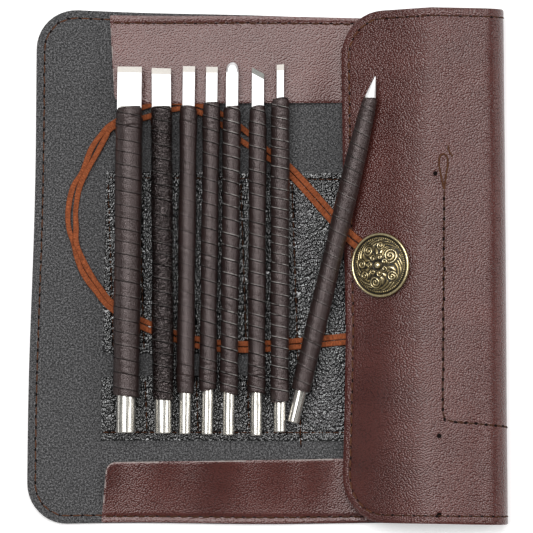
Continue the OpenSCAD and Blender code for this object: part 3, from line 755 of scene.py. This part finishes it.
def guard_layer(seam_y, length, lift):
    """A strip sewn down at seam_y, its free edge lifted off the lining."""

    def layer(s, y, edge, sheet_edge):
        out = clip(abs(y - seam_y) / length, 0, 1)
        uneven = 0.9 + 0.16 * sin(s / 11 + 1) + 0.08 * sin(s / 4.3)
        loose = lift * out ** 1.2 * (1 - 0.8 * ease(s + FOLD_X, 14, 33)) * uneven
        waves = 0.16 * out * sin(s / 7.5 + y / 9) + 0.12 * out * sin(s / 17 - y / 13)
        sunk = 0.3 * ridge(y - seam_y, 0.8)
        thin = 0.25 * (1 - ease(edge, 0, 0.8))
        base = SHEET_T + GUARD_GAP + loose + np.maximum(waves, -0.1 * out) + 0.1 * out
        return base + thin * 0.3, base + GUARD_T - sunk - thin

    return layer


def guard_strips():
    for name, outline, layer, start_y, end_y, rim in (
            ("top", TOP_GUARD, guard_layer(114.4, 38, 2.2), 113.8, 107.4, (0.36, 82, 112)),
            ("bottom", BOTTOM_GUARD, guard_layer(-117.7, 27, 4.8), -117.1, -110.7, (0.36, -115, -80))):
        span, reach = np.transpose([outline.min(0) - 1, outline.max(0) + 1])
        piece = slab(name + "_guard_strip", span, reach, 0.6, outline, layer, [GUARD_LEATHER, EDGE_PALE],
                     pale_rim=rim)
        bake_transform(piece)
        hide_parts(name + "_guard", name + "_hem")


# ---- stitching
RING_PITCH = 5.2
PALE_STITCHES = 16
STITCHES = {}


def stitch_shape(length, width, height, rings=9, around=8):
    """One stitch as (along, across, up) points: two twisted plies, tucked in at both ends."""
    a, turn = linspace(-1, 1, rings)[:, None], circle(around)
    full = np.sqrt(clip(1.04 - abs(a) ** 3, 0, 1)) * (1 + 0.14 * cos(2 * turn + 7 * a))
    up = full * height / 2 * sin(turn) + 0.3 * height * (1 - a ** 2)
    return join(a * length / 2, full * width / 2 * cos(turn), up).reshape(-1, 3)


# Painted shade: a flat oval disc, wider than the thread, that darkens the needle hole beside a stitch.
def hole_shade_disc(radius, around=9):
    turn = circle(around)
    return vstack([join(1.35 * r * cos(turn), 0.85 * r * sin(turn), u)
                   for r, u in ((radius, 0.0), (radius * 0.7, 0.07), (0.02, 0.05))])


def on_sheet(shape, spot, way, depth, out):
    """A small shape laid on a face of the sheet. out is -1 on the outer face, 1 on the inner."""
    at = spot + (shape[:, :1] * way + shape[:, 1:2] * way @ [[0, 1], [-1, 0]])
    return place(at[:, 0], at[:, 1], depth + out * shape[:, 2])


def sew(line, pitch, depth, out, node, length=0.78, width=0.68, height=0.5, hole=0.72, dark=False):
    """A row of stitches with a near-black disc of painted shade at the needle hole between each two, kept per node
    and section.
    """
    for spot, way in zip(*along_line(line, pitch)):
        row = (spot, way, pitch, length, width, height, hole, depth, out)
        STITCHES.setdefault((node, section_at(spot[0])["name"], dark), []).append(row)


def stitch_pieces():
    chance = np.random.default_rng(5)
    named = {part["name"]: part for part in SECTIONS}
    for (node, where, dark), rows in STITCHES.items():
        thread = THREAD_DARK if dark else THREAD
        # The holes pieces are near-black discs of painted shade at the needle holes.
        for kind, material, rings, around in (("thread", thread, 9, 8), ("holes", HOLE_SHADE, 3, 9)):
            points, quads, uv = [], [], []
            for index, (spot, way, pitch, length, width, height, hole, depth, out) in enumerate(rows):
                way = unit(way + chance.normal(0, 0.05) * np.array([-way[1], way[0]]))
                if kind == "thread":
                    shape = stitch_shape(pitch * length * chance.uniform(0.93, 1.04), width, height)
                else:
                    shape = hole_shade_disc(hole)
                    spot = spot + way * pitch / 2
                points.append(on_sheet(shape, spot, way, depth, out))
                quads.append(tube_quads(rings, around, start=index * rings * around)[:, ::out])
                uv.append(shape[:, :2] / 100 + index * 0.05)
            name = f"{node}_{where}_{kind}" + "_dark" * dark
            piece = make_piece(name, vstack(points), vstack(quads), [material], uv=vstack(uv))
            carry(piece, named[where], "thread")
            if kind == "thread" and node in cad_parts:
                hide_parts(node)


def sew_ring():
    """Stitches round the whole sheet, paler along the flap's free edge. None show under the guards."""
    ring = inset_outline(SHEET_OUTLINE, STITCH_INSET)
    for spot, way in zip(*along_line(vstack([ring, ring[:1]]), RING_PITCH)):
        line = [spot - way * RING_PITCH / 2, spot + way * RING_PITCH / 2]
        part = section_at(spot[0])["name"]
        node = {"left": "margin_thread", "flap": "flap_thread"}.get(part, "edge_thread")
        pale = {"width": 0.9, "height": 0.75} if spot[0] > S_EDGE - PALE_STITCHES else {"dark": True}
        sew(line, RING_PITCH, 0.17, -1, node, hole=0.8, **pale)
        if max(inside_distance(*spot, guard) for guard in (TOP_GUARD, BOTTOM_GUARD)) < 1.5:
            sew(line, RING_PITCH, SHEET_T - 0.15, 1, node)


def sew_guards():
    face = SHEET_T + GUARD_GAP + GUARD_T - 0.28
    left, right = -72.6 - FOLD_X, 50 - FOLD_X
    rows = [(4.9, (left, 114.8), (right, 113.9)), (5.0, (left - 4, -117.8), (right, -117.9))]
    for pitch, *row in rows:
        sew(row, pitch, face, 1, "edge_thread", width=0.9, hole=0.8, dark=True)


def sew_pocket():
    end, above, below = S_CREST - 2, WINDOW_Y + 7, WINDOW_Y - 7
    rows = [(3.4, (-74.5 - FOLD_X, 41.9), (end, 39.9)), (3.6, (-77.4 - FOLD_X, -78.0), (end, -78.4))]
    for i in range(4):
        for ends in ((39.5, above), (below, -77)) if i else ((39.5, -84.5),):
            rows.append((4.4, *((seam_x(i, y) - FOLD_X, y) for y in ends)))
    left = POCKET_LEFT + 3.6
    rows.append((4.0, (left - SEAM_LEAN * 39 - FOLD_X, 39), (left - SEAM_LEAN * above - FOLD_X, above)))
    for pitch, *row in rows:
        sew(row, pitch, POCKET_TOP - 0.3, 1, "pocket_thread", 0.8, 0.62, 0.42, 0.45, True)


def sew_flap_seam():
    marks = [(83.2, 36.4), (82.9, 0), (82.5, -40), (82.4, -66), (83.6, -70.6), (87.0, -72.4), (94, -73.1)]
    seam = smooth_curve([(rise_s(x), y) for x, y in marks] + [(28, -74.4), (14, -75.8)])
    sew(seam, 4.75, 0.02, -1, "pocket_flap_thread", 0.72, 0.8, 0.42, 0.85, True)


def thread_curl():
    """Loose end of the seam's thread, left in a loop above the seam."""
    loop = [(82.9, 36.2), (82.2, 40.0), (81.3, 44.2), (80.7, 48.0), (81.2, 51.4), (82.8, 52.6),
            (84.4, 51.4), (84.9, 48.2), (84.3, 44.0), (83.7, 40.4), (83.2, 36.0)]
    tail = [(85.0, 56.8), (85.2, 54.8), (86.0, 53.0), (87.2, 51.4)]
    for index, marks in enumerate((loop, tail)):
        line = smooth_curve([(rise_s(x), y) for x, y in marks])
        count, turn = arange(len(line)), circle(8)
        centre = place(line[:, 0], line[:, 1], -0.22 - 0.1 * sin(count / 5))
        ahead = unit(np.gradient(centre, axis=0))
        side = unit(np.cross(ahead, [sin(-0.05), 0, 1.0]))
        radius = 0.44 * (1 + 0.16 * cos(2 * turn + count[:, None] * 1.1))
        radius[[0, -1]] *= 0.3
        profile = join(radius * cos(turn), radius * 0.8 * sin(turn))
        piece = sweep(f"thread_curl_{index}", centre, side, np.cross(side, ahead), profile, THREAD)
        settle(piece, "flap", "thread")


# ---- tie cord
UP = np.array([0, 0, 1.0])
FLAP_UP = np.array([-sin(SLOPE), 0, cos(SLOPE)])
FLAP_OUT = np.array([cos(SLOPE), 0, sin(SLOPE)])
BUTTON_FOOT = np.array([54.5, 0.7, 16.53])
CORD_Z = 3.95
CORD_STEPS = 14

# Places from the button down the flap's slope: across the flap, and along Y.
CORD_START = [(-2, 2.4), (-6, 5.3), (-10.5, 8.6), (-16, 12.6), (-20.2, 15.9)]

# Each row: x, y, half the distance between the two strands, how far one strand rides over the other.
CORD_ROWS = [
    (31.5, 22.4, 1.5, 0), (11.3, 44.7, 1.45, 0), (-0.7, 53.8, 1.6, 0), (-10.4, 61.1, 2.4, 0),
    (-20.8, 69, 2.2, 0), (-31.6, 74.3, 1.6, 0), (-42.2, 75.6, 1.5, 0), (-56.1, 72.9, 2.5, 0), (-72.1, 66.4, 0.8, 0.9),
    (-77.0, 60.9, 1.3, 0.3), (-81.1, 54.2, 1.65, 0), (-85.8, 44.1, 0.95, 0.9), (-89.6, 36.9, 1.5, 0.2),
    (-91.5, 26.8, 1.75, 0), (-91.3, 18.2, 1.7, 0), (-90, 11, 0.6, 1.2), (-87.9, 3.8, 1.2, 0.4),
    (-84.5, -3.4, 1.45, 0), (-79.4, -10.6, 1.3, 0.2), (-72.6, -18.6, 1.3, 0), (-57.1, -27.5, 1.5, 0),
    (-31.3, -36, 1.6, 0), (-10.1, -37.8, 1.5, 0), (13.4, -36.4, 1.45, 0), (41, -33.8, 1.45, 0)]


def on_flap(across, along, height):
    """A place on the flap's slope, measured from the button."""
    flat = np.asarray(across)[..., None] * FLAP_OUT + np.asarray(along)[..., None] * [0, 1.0, 0]
    return BUTTON_FOOT + flat + np.asarray(height)[..., None] * FLAP_UP


def cord_path():
    """Centre line, half gap and stacking, and the up direction, from the button to the cord's far end."""
    rows = [(*on_flap(a, b, 1.0), 1.7, 0) for a, b in CORD_START]
    for index, (x, y, gap, stack) in enumerate(CORD_ROWS):
        sag = 0.9 * ease(-x, 80, 88) * (1 - 0.5 * (stack > 0.5))
        rows.append((x, y, CORD_Z + 0.45 * (index == 0) - sag, gap, stack))
    rows = smooth_curve(rows, CORD_STEPS)
    first = arange(len(rows)) < CORD_STEPS * (len(CORD_START) + 3)
    tilt = np.where(first, 1 - ease(-rows[:, 0], -37, -31), 0)[:, None]
    return rows, unit(tilt * FLAP_UP + (1 - tilt) * UP)


def tie_cord():
    rows, up = cord_path()
    split = int(np.argmax(rows[:, 0] < 23))
    ahead = unit(np.gradient(rows[:, :3], axis=0))
    side = unit(np.cross(up, ahead))
    lift = np.cross(ahead, side)
    count, turn = arange(len(rows))[:, None], circle(16)
    box_side = np.sign(cos(turn)) * abs(cos(turn)) ** 0.45
    box_up = np.sign(sin(turn)) * abs(sin(turn)) ** 0.55
    for strand, sign in (("a", 1), ("b", -1)):
        over = 0.75 if sign > 0 else -0.2
        middle = rows[:, :3] + side * (sign * rows[:, 3:4]) + lift * (rows[:, 4:5] * over)
        u = box_side * (1.28 + 0.07 * sin(count / 5.3 + sign))
        v = box_up * (0.66 + 0.04 * sin(count / 3.7 - sign))
        roll = 0.16 * sin(count / 17 + 2 * sign) * ease(-rows[:, :1], 74, 84)
        profile = join(u * cos(roll) - v * sin(roll), u * sin(roll) + v * cos(roll))
        profile[[0, -1]] *= 0.35
        for name, cut in (("neck", slice(0, split + 1)), ("loop", slice(split, len(rows)))):
            piece = sweep(f"cord_{name}_{strand}", middle[cut], side[cut], lift[cut], profile[cut], CORD)
            if name == "neck":
                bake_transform(piece)
                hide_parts("cord_anchor")
            else:
                settle(piece, "cord", "suede_cord", "tie_cord")


# ---- button
BUTTON_R = 15.1
BUTTON_GAP = 1.9
BUTTON_POINTS = 540

# Each scroll: direction from the middle in degrees, distance, radius, winding hand, spacing of its lines.
SCROLLS = [(-101, 8.2, 3.1, 1, 1.35), (36, 7.7, 4.0, -1, 1.45), (-36, 8.9, 2.7, -1, 1.25),
           (178, 8.8, 2.4, 1, 1.2), (128, 8.5, 2.8, -1, 1.3), (-146, 8.9, 2.4, -1, 1.2),
           (84, 9.3, 2.2, 1, 1.15)]
SCROLLS += [(25 + 360 / 7 * k, 3.95, 1.62, 1 if k % 2 else -1, 1.3) for k in range(7)]


def ornament(u, v):
    """Scrollwork height, 0 to 1: wound scrolls, with leaf strokes filling the rest."""
    r, turn = np.hypot(u, v), np.arctan2(v, u)
    strokes = cos(17 * (turn + 0.34 * sin(r / 1.9)) + 2.6 * r) * 0.5 + 0.5
    relief = strokes ** 1.3 * (0.75 + 0.25 * cos(5 * turn + r)) * ease(r, 2.2, 3.0)
    for degrees, reach, radius, hand, pitch in SCROLLS:
        a = math.radians(degrees)
        du, dv = u - reach * cos(a), v - reach * sin(a)
        away, around = np.hypot(du, dv), np.arctan2(dv, du)
        line = 0.5 + 0.5 * cos(2 * pi * away / pitch - hand * (around - a))
        share = ease(-away, -radius, -radius + 0.35)
        relief = (relief * (1 - share) + line ** 1.2 * share) * (1 - 0.95 * ridge(away - radius, 0.24))
    return relief


def button_surface(r, turn):
    """Height of the button's face and how worn it is, from the radius and the angle."""
    scroll = ornament(r * cos(turn), r * sin(turn)) * (1 - ease(r, 11.7, 12.2)) * ease(r, 2.2, 2.7)
    dome = 1.0 + 2.7 * (1 - clip(r / 13.4, 0, 1) ** 2)
    ball = np.sqrt(clip(1 - (r / 1.7) ** 2, 0, 1))
    beads = ridge(r - 12.75, 0.42) * (0.55 + 0.45 * cos(80 * turn))
    rim = np.sqrt(clip(1 - ((r - 14.45) / 0.64) ** 2, 0, 1))
    groove = ridge(r - 13.5, 0.3)
    height = dome + 0.62 * scroll + 1.25 * ball - 0.35 * ridge(r - 2.1, 0.4)
    height += 0.32 * beads + 0.55 * rim - 0.3 * groove
    worn = 0.16 + 0.72 * scroll + 0.72 * ball + 0.42 * beads + 0.62 * rim - 0.1 * groove
    return height, clip(worn, 0, 1)


def brass_piece(name, r, turn, height, worn, body, node):
    """A round piece about the button's axis. worn runs from dark hollows to bright edges."""
    points = on_flap(r * cos(turn), r * sin(turn), height)
    piece = make_piece(name, points, tube_quads(*points.shape[:2]), [BRASS], fields={"relief": worn})
    settle(piece, body, "antique_brass", node)


def button():
    turn = circle(BUTTON_POINTS)
    r = np.concatenate([linspace(0.02, 13.4, 112), linspace(13.45, BUTTON_R, 16)])[:, None]
    height, worn = button_surface(r, turn)
    under = np.array([(BUTTON_R, 0.45, 0.8), (BUTTON_R - 0.25, 0.1, 0.5), (BUTTON_R - 1.2, 0.0, 0.2),
                      (12.6, 0.5, 0.05), (4.0, 0.7, 0.05)])
    r = vstack([r, under[:, :1]])
    height = vstack([height, under[:, 1:2] * np.ones(len(turn))])
    worn = vstack([worn, under[:, 2:] * np.ones(len(turn))])
    brass_piece("button_face", r, turn, height + BUTTON_GAP, worn, "button", "button_cap")
    rim = [(1.5, 0.02), (4.0, 0.02), (4.5, 0.12), (4.5, 0.68), (4.35, 0.8), (1.5, 0.8)]
    turned_fitting("washer_disc", "button_washer", rim)
    head = -SHEET_T - 0.55
    screw = [(0.02, head), (4.0, head), (4.75, head + 0.1), (5.0, head + 0.35), (5.0, head + 0.52),
             (1.5, head + 0.54), (1.5, 3.6), (0.02, 3.6)]
    turned_fitting("screw_head", "button_screw", screw, 0.42)


def turned_fitting(name, node, profile, slot_depth=0.0):
    """A turned brass fitting from (radius, height) pairs, with a screwdriver slot if it has a depth."""
    fine = vstack([linspace(a, b, 9)[:-1] for a, b in zip(profile[:-1], profile[1:])] + [profile[-1:]])
    r, h, turn = fine[:, :1], fine[:, 1:], circle(96)
    in_slot = (abs(r * sin(turn)) < 0.55) & (abs(r * cos(turn)) < 4.4) & (h < profile[0][1] + 0.05)
    slot = slot_depth * in_slot
    brass_piece(name, r, turn, h + slot, np.where(slot > 0, 0.2, 0.62), "flap", node)


# ---- tools
# Butt, tip, blade width, handle and rod diameters, wrap ends in Y, kind of tip.
TOOLS = {
    "chisel_wide": ((-66.1, -78), (-64.2, 93.8), 11.4, 12.4, 8.9, -60.9, 75.2, "chisel"),
    "chisel_medium": ((-48.5, -78.3), (-49.4, 93.3), 9, 10.1, 8, -62.7, 75.4, "chisel"),
    "chisel_small": ((-38.4, -78.7), (-36.4, 94.1), 5.7, 8, 5.7, -59.5, 75.4, "chisel"),
    "chisel_fine": ((-27.9, -78.9), (-25.6, 93.8), 5.4, 7.9, 5.5, -57.6, 77.3, "chisel"),
    "round_nose": ((-17.9, -79.2), (-16, 95.9), 5.7, 8.3, 5.6, -59.7, 75.4, "round"),
    "skew": ((-4.8, -79.4), (-4, 93.5), 5.7, 8.2, 5.4, -59.9, 75, "skew"),
    "chisel_narrow": ((6.2, -77.7), (6.5, 94.7), 3.4, 8.8, 5.8, -63.2, 78.7, "chisel"),
    "needle": ((12.5, -73.1), (51, 89.3), 5, 9.2, 5.6, -58, 79.2, "needle")}
TOOL_REST_Z = 4.65
NEEDLE_PITCH = math.radians(3.5)
BLADE_T = 2.4
ROUND_POINTS = 49

# Wound strip of each handle: pitch of its turns, depth of its seams, which also sets their painted shade, how frayed
# and pale its edges are, with the pale partly a painted highlight, and how lumpy its tucked ends are at the tip and
# at the butt.
WRAPS = {
    "chisel_wide": (6.3, 0.7, 0.12, 1.2, 0.1), "chisel_medium": (6.0, 0.9, 0.2, 0.6, 0.4),
    "chisel_small": (6.6, 0.35, 0.1, 0.5, 1.0), "chisel_fine": (6.0, 0.8, 0.3, 0.8, 0.7),
    "round_nose": (6.0, 1.15, 0.85, 0.4, 1.1), "skew": (5.8, 0.9, 0.5, 0.5, 0.8),
    "chisel_narrow": (4.7, 1.15, 1.0, 0.7, 0.4), "needle": (6.2, 0.5, 0.25, 0.8, 0.3)}


class Tool:
    """One tool's sizes, and its place on the roll."""

    def __init__(self, name):
        self.name = name
        self.butt, self.tip, self.width, handle, rod_width, start_y, end_y, self.kind = TOOLS[name]
        self.handle, self.rod, self.length = handle / 2, rod_width / 2, math.dist(self.butt, self.tip)
        self.wrap_start, self.wrap_end = self.along(start_y), self.along(end_y)

    def along(self, y):
        """Distance from the butt of a place at y."""
        return (y - self.butt[1]) / (self.tip[1] - self.butt[1]) * self.length

    def place(self, points):
        """Puts points made along +Y from the butt into the tool's place."""
        (bx, by), (tx, ty) = self.butt, self.tip
        x, y, z = points[..., 0], points[..., 1], points[..., 2]
        pitch = NEEDLE_PITCH if self.kind == "needle" else 0
        y, z = y * cos(pitch) - z * sin(pitch), y * sin(pitch) + z * cos(pitch)
        turn = math.atan2(tx - bx, ty - by)
        x, y = x * cos(turn) + y * sin(turn), y * cos(turn) - x * sin(turn)
        return join(x + bx, y + by, z + TOOL_REST_Z + self.handle)


def lathe(tool, ending, profile, material):
    """A turned piece from (radius, along) pairs."""
    profile = np.array(profile, float)
    turn = linspace(0, 2 * pi, ROUND_POINTS)
    r, t = profile[:, :1], profile[:, 1:]
    uv = join(turn / (2 * pi), t / 100)
    points = tool.place(join(r * sin(turn), t, r * cos(turn)))
    quads = tube_quads(len(profile), ROUND_POINTS, closed=False)
    return make_piece(tool.name + ending, points, quads, [material], uv=uv)


def rod(tool):
    r, end = tool.rod, tool.wrap_end
    butt = [(0.02, 0.35), (r * 0.55, 0.3), (r * 0.62, 0.05), (r - 0.35, 0), (r - 0.12, 0.06),
            (r, 0.25), (r, 0.6)]
    bar = [(r, t) for t in linspace(1.5, end - 0.2, 12)]
    return lathe(tool, "_rod_bar", butt + bar + [(r - 0.3, end), (0.02, end)], ROD)


def turn_edges(chance, start, end, pitch):
    """Places of the seams of a wound strip, a little uneven."""
    widths = pitch * (1 + 0.10 * chance.standard_normal(int((end - start) / pitch) + 5))
    return start - 1.5 * pitch + np.concatenate([[0], np.cumsum(clip(widths, 0.6 * pitch, 1.5 * pitch))])


def wrap(tool, seed):
    """Leather strip wound round the rod. Each turn starts low and climbs over the one before."""
    chance = np.random.default_rng(seed)
    pitch, depth, frayed, tip_lump, butt_lump = WRAPS[tool.name]
    seams = turn_edges(chance, tool.wrap_start, tool.wrap_end, pitch)
    steps = np.array([0.0, 0.05, 0.07, 0.16, 0.28, 0.4, 0.52, 0.64, 0.76, 0.88, 0.95, 0.985])
    rows = (arange(len(seams) - 1)[:, None] + steps).ravel()
    turn = linspace(-pi, pi, 73)
    q, a = np.meshgrid(rows, turn, indexing="ij")
    along = interp(q, arange(len(seams)), seams) - pitch * a / (2 * pi)
    low = tool.wrap_start + 0.5 * sin(a + chance.uniform(0, 6)) * (1 - cos(chance.uniform(0, 6)))
    high = tool.wrap_end + 0.45 * sin(a + chance.uniform(0, 6)) + 0.3 * sin(2 * a + 1)
    share = clip(along, low, high)
    phase = q - np.floor(q)
    step = 0.28 * depth * chance.uniform(0.5, 1.15, len(seams) + 1)[np.floor(q).astype(int)]
    r = tool.handle + 0.12 - step * (1 - phase) ** 1.3 - 0.3 * depth * ridge(phase - 1, 0.07)
    r += 0.07 * sin(along * 1.9 + 3 * a) * sin(along * 0.31 + seed) + 0.14 * sin(along / 9 + seed)
    taper, reach = (0.26, 26) if tool.kind == "needle" else (0.06, 7)
    r *= 1 - taper * ease(share, high - reach, high)
    r -= 0.45 * ridge(share - high, 0.9) + 0.2 * ridge(share - low, 0.7)
    for lump, middle in ((tip_lump, high - 8.5), (butt_lump, low + 9.0)):
        off = share - middle
        fold = off - 0.7 * sin(a + seed)
        r += lump * (0.34 * ridge(off, 4.2) - 0.3 * ridge(fold - 3.4, 0.6) - 0.34 * ridge(fold + 1.2, 0.6)
                     - 0.22 * ridge(fold - 0.9, 0.5))
    # The strip's own rings, closed onto the rod by one more ring at each end.
    neck = tool.rod * 0.96
    ends = (low[0] + 0.12, high[0] - 0.35)
    first, last = (join(neck * sin(turn), end, neck * cos(turn))[None] for end in ends)
    grid = vstack([first, join(r * sin(a), share, r * cos(a)), last])
    quads = tube_quads(*grid.shape[:2], closed=False)
    corners = grid.reshape(-1, 3)[quads]
    quads = quads[(np.ptp(corners[..., 1], axis=1) > 1e-5) | (np.ptp(corners, axis=1).max(1) > 1.2)]
    start = np.pad(phase, ((1, 1), (0, 0)))
    # Fields for the material: the phase of each turn, the pale edge (partly a painted highlight), and how much
    # painted shade each seam gets.
    fields = {"turn": start, "frayed": np.full(start.shape, frayed),
              "seam": np.full(start.shape, min(1.25 * depth, 1))}
    uv = join(turn * tool.handle, grid[..., 1]) / 100
    material = WRAP_GLOSSY if tool.name == "chisel_medium" else WRAP
    name = tool.name + "_wrap_strip"
    return make_piece(name, tool.place(grid), quads, [material], uv=uv, fields=fields)


def tip_outline(tool, back):
    """Half turn round a blade's tip, right side to left. back moves the edge toward the handle."""
    w = tool.width / 2
    if tool.kind == "round":
        a = linspace(0, pi, 25)
        return join((w - 0.25 * back) * cos(a), tool.length - 4.6 + (4.6 - 0.45 * back) * sin(a) ** 0.8)
    drop = {"skew": 3.0, "chisel_medium": 0.35, "chisel_narrow": -0.3}.get(tool.name, 0)
    u = linspace(1, -1, 25)
    return join(u * w, tool.length - back - drop * clip((u + 1) / 2, 0, 1))


def blade(tool):
    """A flat bar with softened edges and one ground bevel at the tip."""
    base, h, w = tool.wrap_end - 1.5, BLADE_T / 2, tool.width / 2
    bevel = 2.7 if tool.kind == "skew" else 2.9
    loops = []
    for z, shrink, back in ((-h, 0.12, 0.25), (-h + 0.12, 0.0, 0.05), (-h + 0.3, 0.0, 0.0),
                            (h - 0.15, 0.0, bevel - 0.1), (h, 0.15, bevel)):
        tip = tip_outline(tool, back) * [1 - shrink / w, 1]
        right = join(w - shrink, linspace(base, tip[0, 1] - 0.05, 6))
        left = join(shrink - w, linspace(tip[-1, 1] - 0.05, base, 6))
        outline = vstack([right, tip, left])
        loops.append(join(outline[:, 0], outline[:, 1], z))
    count = len(loops[0])
    under, top = loops[0].copy(), loops[-1].copy()
    for face in (under, top):
        face[:, 0] = 0
        face[:, 1] = np.minimum(face[:, 1], face[count // 2, 1])
    grid = np.stack([under] + loops + [top])
    quads = tube_quads(len(grid), count)
    in_tip = (quads.min(1) % count >= 6) & (quads.max(1) % count < count - 6)
    slots = (quads.min(1) // count == 3) & in_tip
    # Every face keeps its own corners, so that the edges stay crisp.
    order = arange(quads.size).reshape(-1, 4)
    ground = {"skew": BEVEL_GREY, "round": STEEL}.get(tool.kind, BEVEL)
    corners = grid.reshape(-1, 3)[quads.ravel()]
    piece = make_piece(tool.name + "_blade_bar", tool.place(corners), order, [STEEL, ground], slots,
                       corners[:, :2] / 100)
    piece.data.polygons.foreach_set("use_smooth", np.zeros(len(order), bool))
    return piece


def needle_tip(tool):
    r, start, end = tool.width / 2, tool.wrap_end + 0.6, tool.length
    cone = [(r * (1 - t) ** 0.92 + 0.12 * t, start + (end - start) * t) for t in linspace(0.05, 1, 20)]
    socket = [(r * 0.9, start - 2.1), (r, start - 0.8), (r, start)]
    return lathe(tool, "_blade_bar", socket + cone + [(0.01, end + 0.05)], STEEL)


def tools():
    for seed, name in enumerate(TOOLS):
        tool = Tool(name)
        tip = needle_tip if tool.kind == "needle" else blade
        settle(rod(tool), name, "plated_rod", name + "_rod")
        settle(wrap(tool, seed + 20), name, "wrap_leather", name + "_wrap")
        settle(tip(tool), name, "polished_steel", name + "_blade")


# ---- table, light and camera. Metres from here on.
CAMERA_HEIGHT = 3.0
SENSOR_WIDTH = 36
PICTURE_WIDTH = 0.2505
TABLE_Z = -0.0004


def floor():
    n = Nodes("floor")
    grain = n.noise(n.add("TexCoord").outputs["Object"], 30, 2)
    n.finish(n.ramp(grain, (0.3, 0.93), (0.7, 0.95)), 0.9,
             Emission__Color=(1, 1, 1, 1), Emission__Strength=0.3)
    mesh = bpy.data.meshes.new("floor")
    corners = ((-9, -9), (9, -9), (9, 9), (-9, 9))
    mesh.from_pydata([(x, y, TABLE_Z) for x, y in corners], [], [(0, 1, 2, 3)])
    mesh.materials.append(n.material)
    show("floor", mesh)


def area_light(name, at, size, power):
    light = bpy.data.lights.new(name, "AREA")
    light.shape = "RECTANGLE"
    light.size, light.size_y = size
    light.energy = power
    lamp = show(name, light)
    lamp.location = at
    lamp.rotation_euler = (-Vector(at)).to_track_quat("-Z", "Y").to_euler()


def light_and_camera():
    world = bpy.data.worlds.new("studio")
    world.use_nodes = True
    world.node_tree.nodes["Background"].inputs["Color"].default_value = (1, 1, 1, 1)
    world.node_tree.nodes["Background"].inputs["Strength"].default_value = 0.18
    bpy.context.scene.world = world
    area_light("overhead", (-0.5, 0.85, 3.4), (3.6, 2.0), 134)
    area_light("right_rim", (2.3, 0.2, 1.9), (1.3, 1.8), 26)
    bpy.context.scene.view_settings.view_transform = "Standard"
    camera = show("camera", bpy.data.cameras.new("camera"))
    camera.location = (0, 0, CAMERA_HEIGHT)
    camera.data.sensor_width = SENSOR_WIDTH
    camera.data.lens = SENSOR_WIDTH * (CAMERA_HEIGHT - 0.006) / PICTURE_WIDTH
    camera.data.clip_end = 50
    bpy.context.scene.camera = camera


sheet_layers()
punched_mark_shade()
pocket_panel()
guard_strips()
sew_ring()
sew_guards()
sew_pocket()
sew_flap_seam()
stitch_pieces()
thread_curl()
tie_cord()
button()
tools()
floor()
light_and_camera()
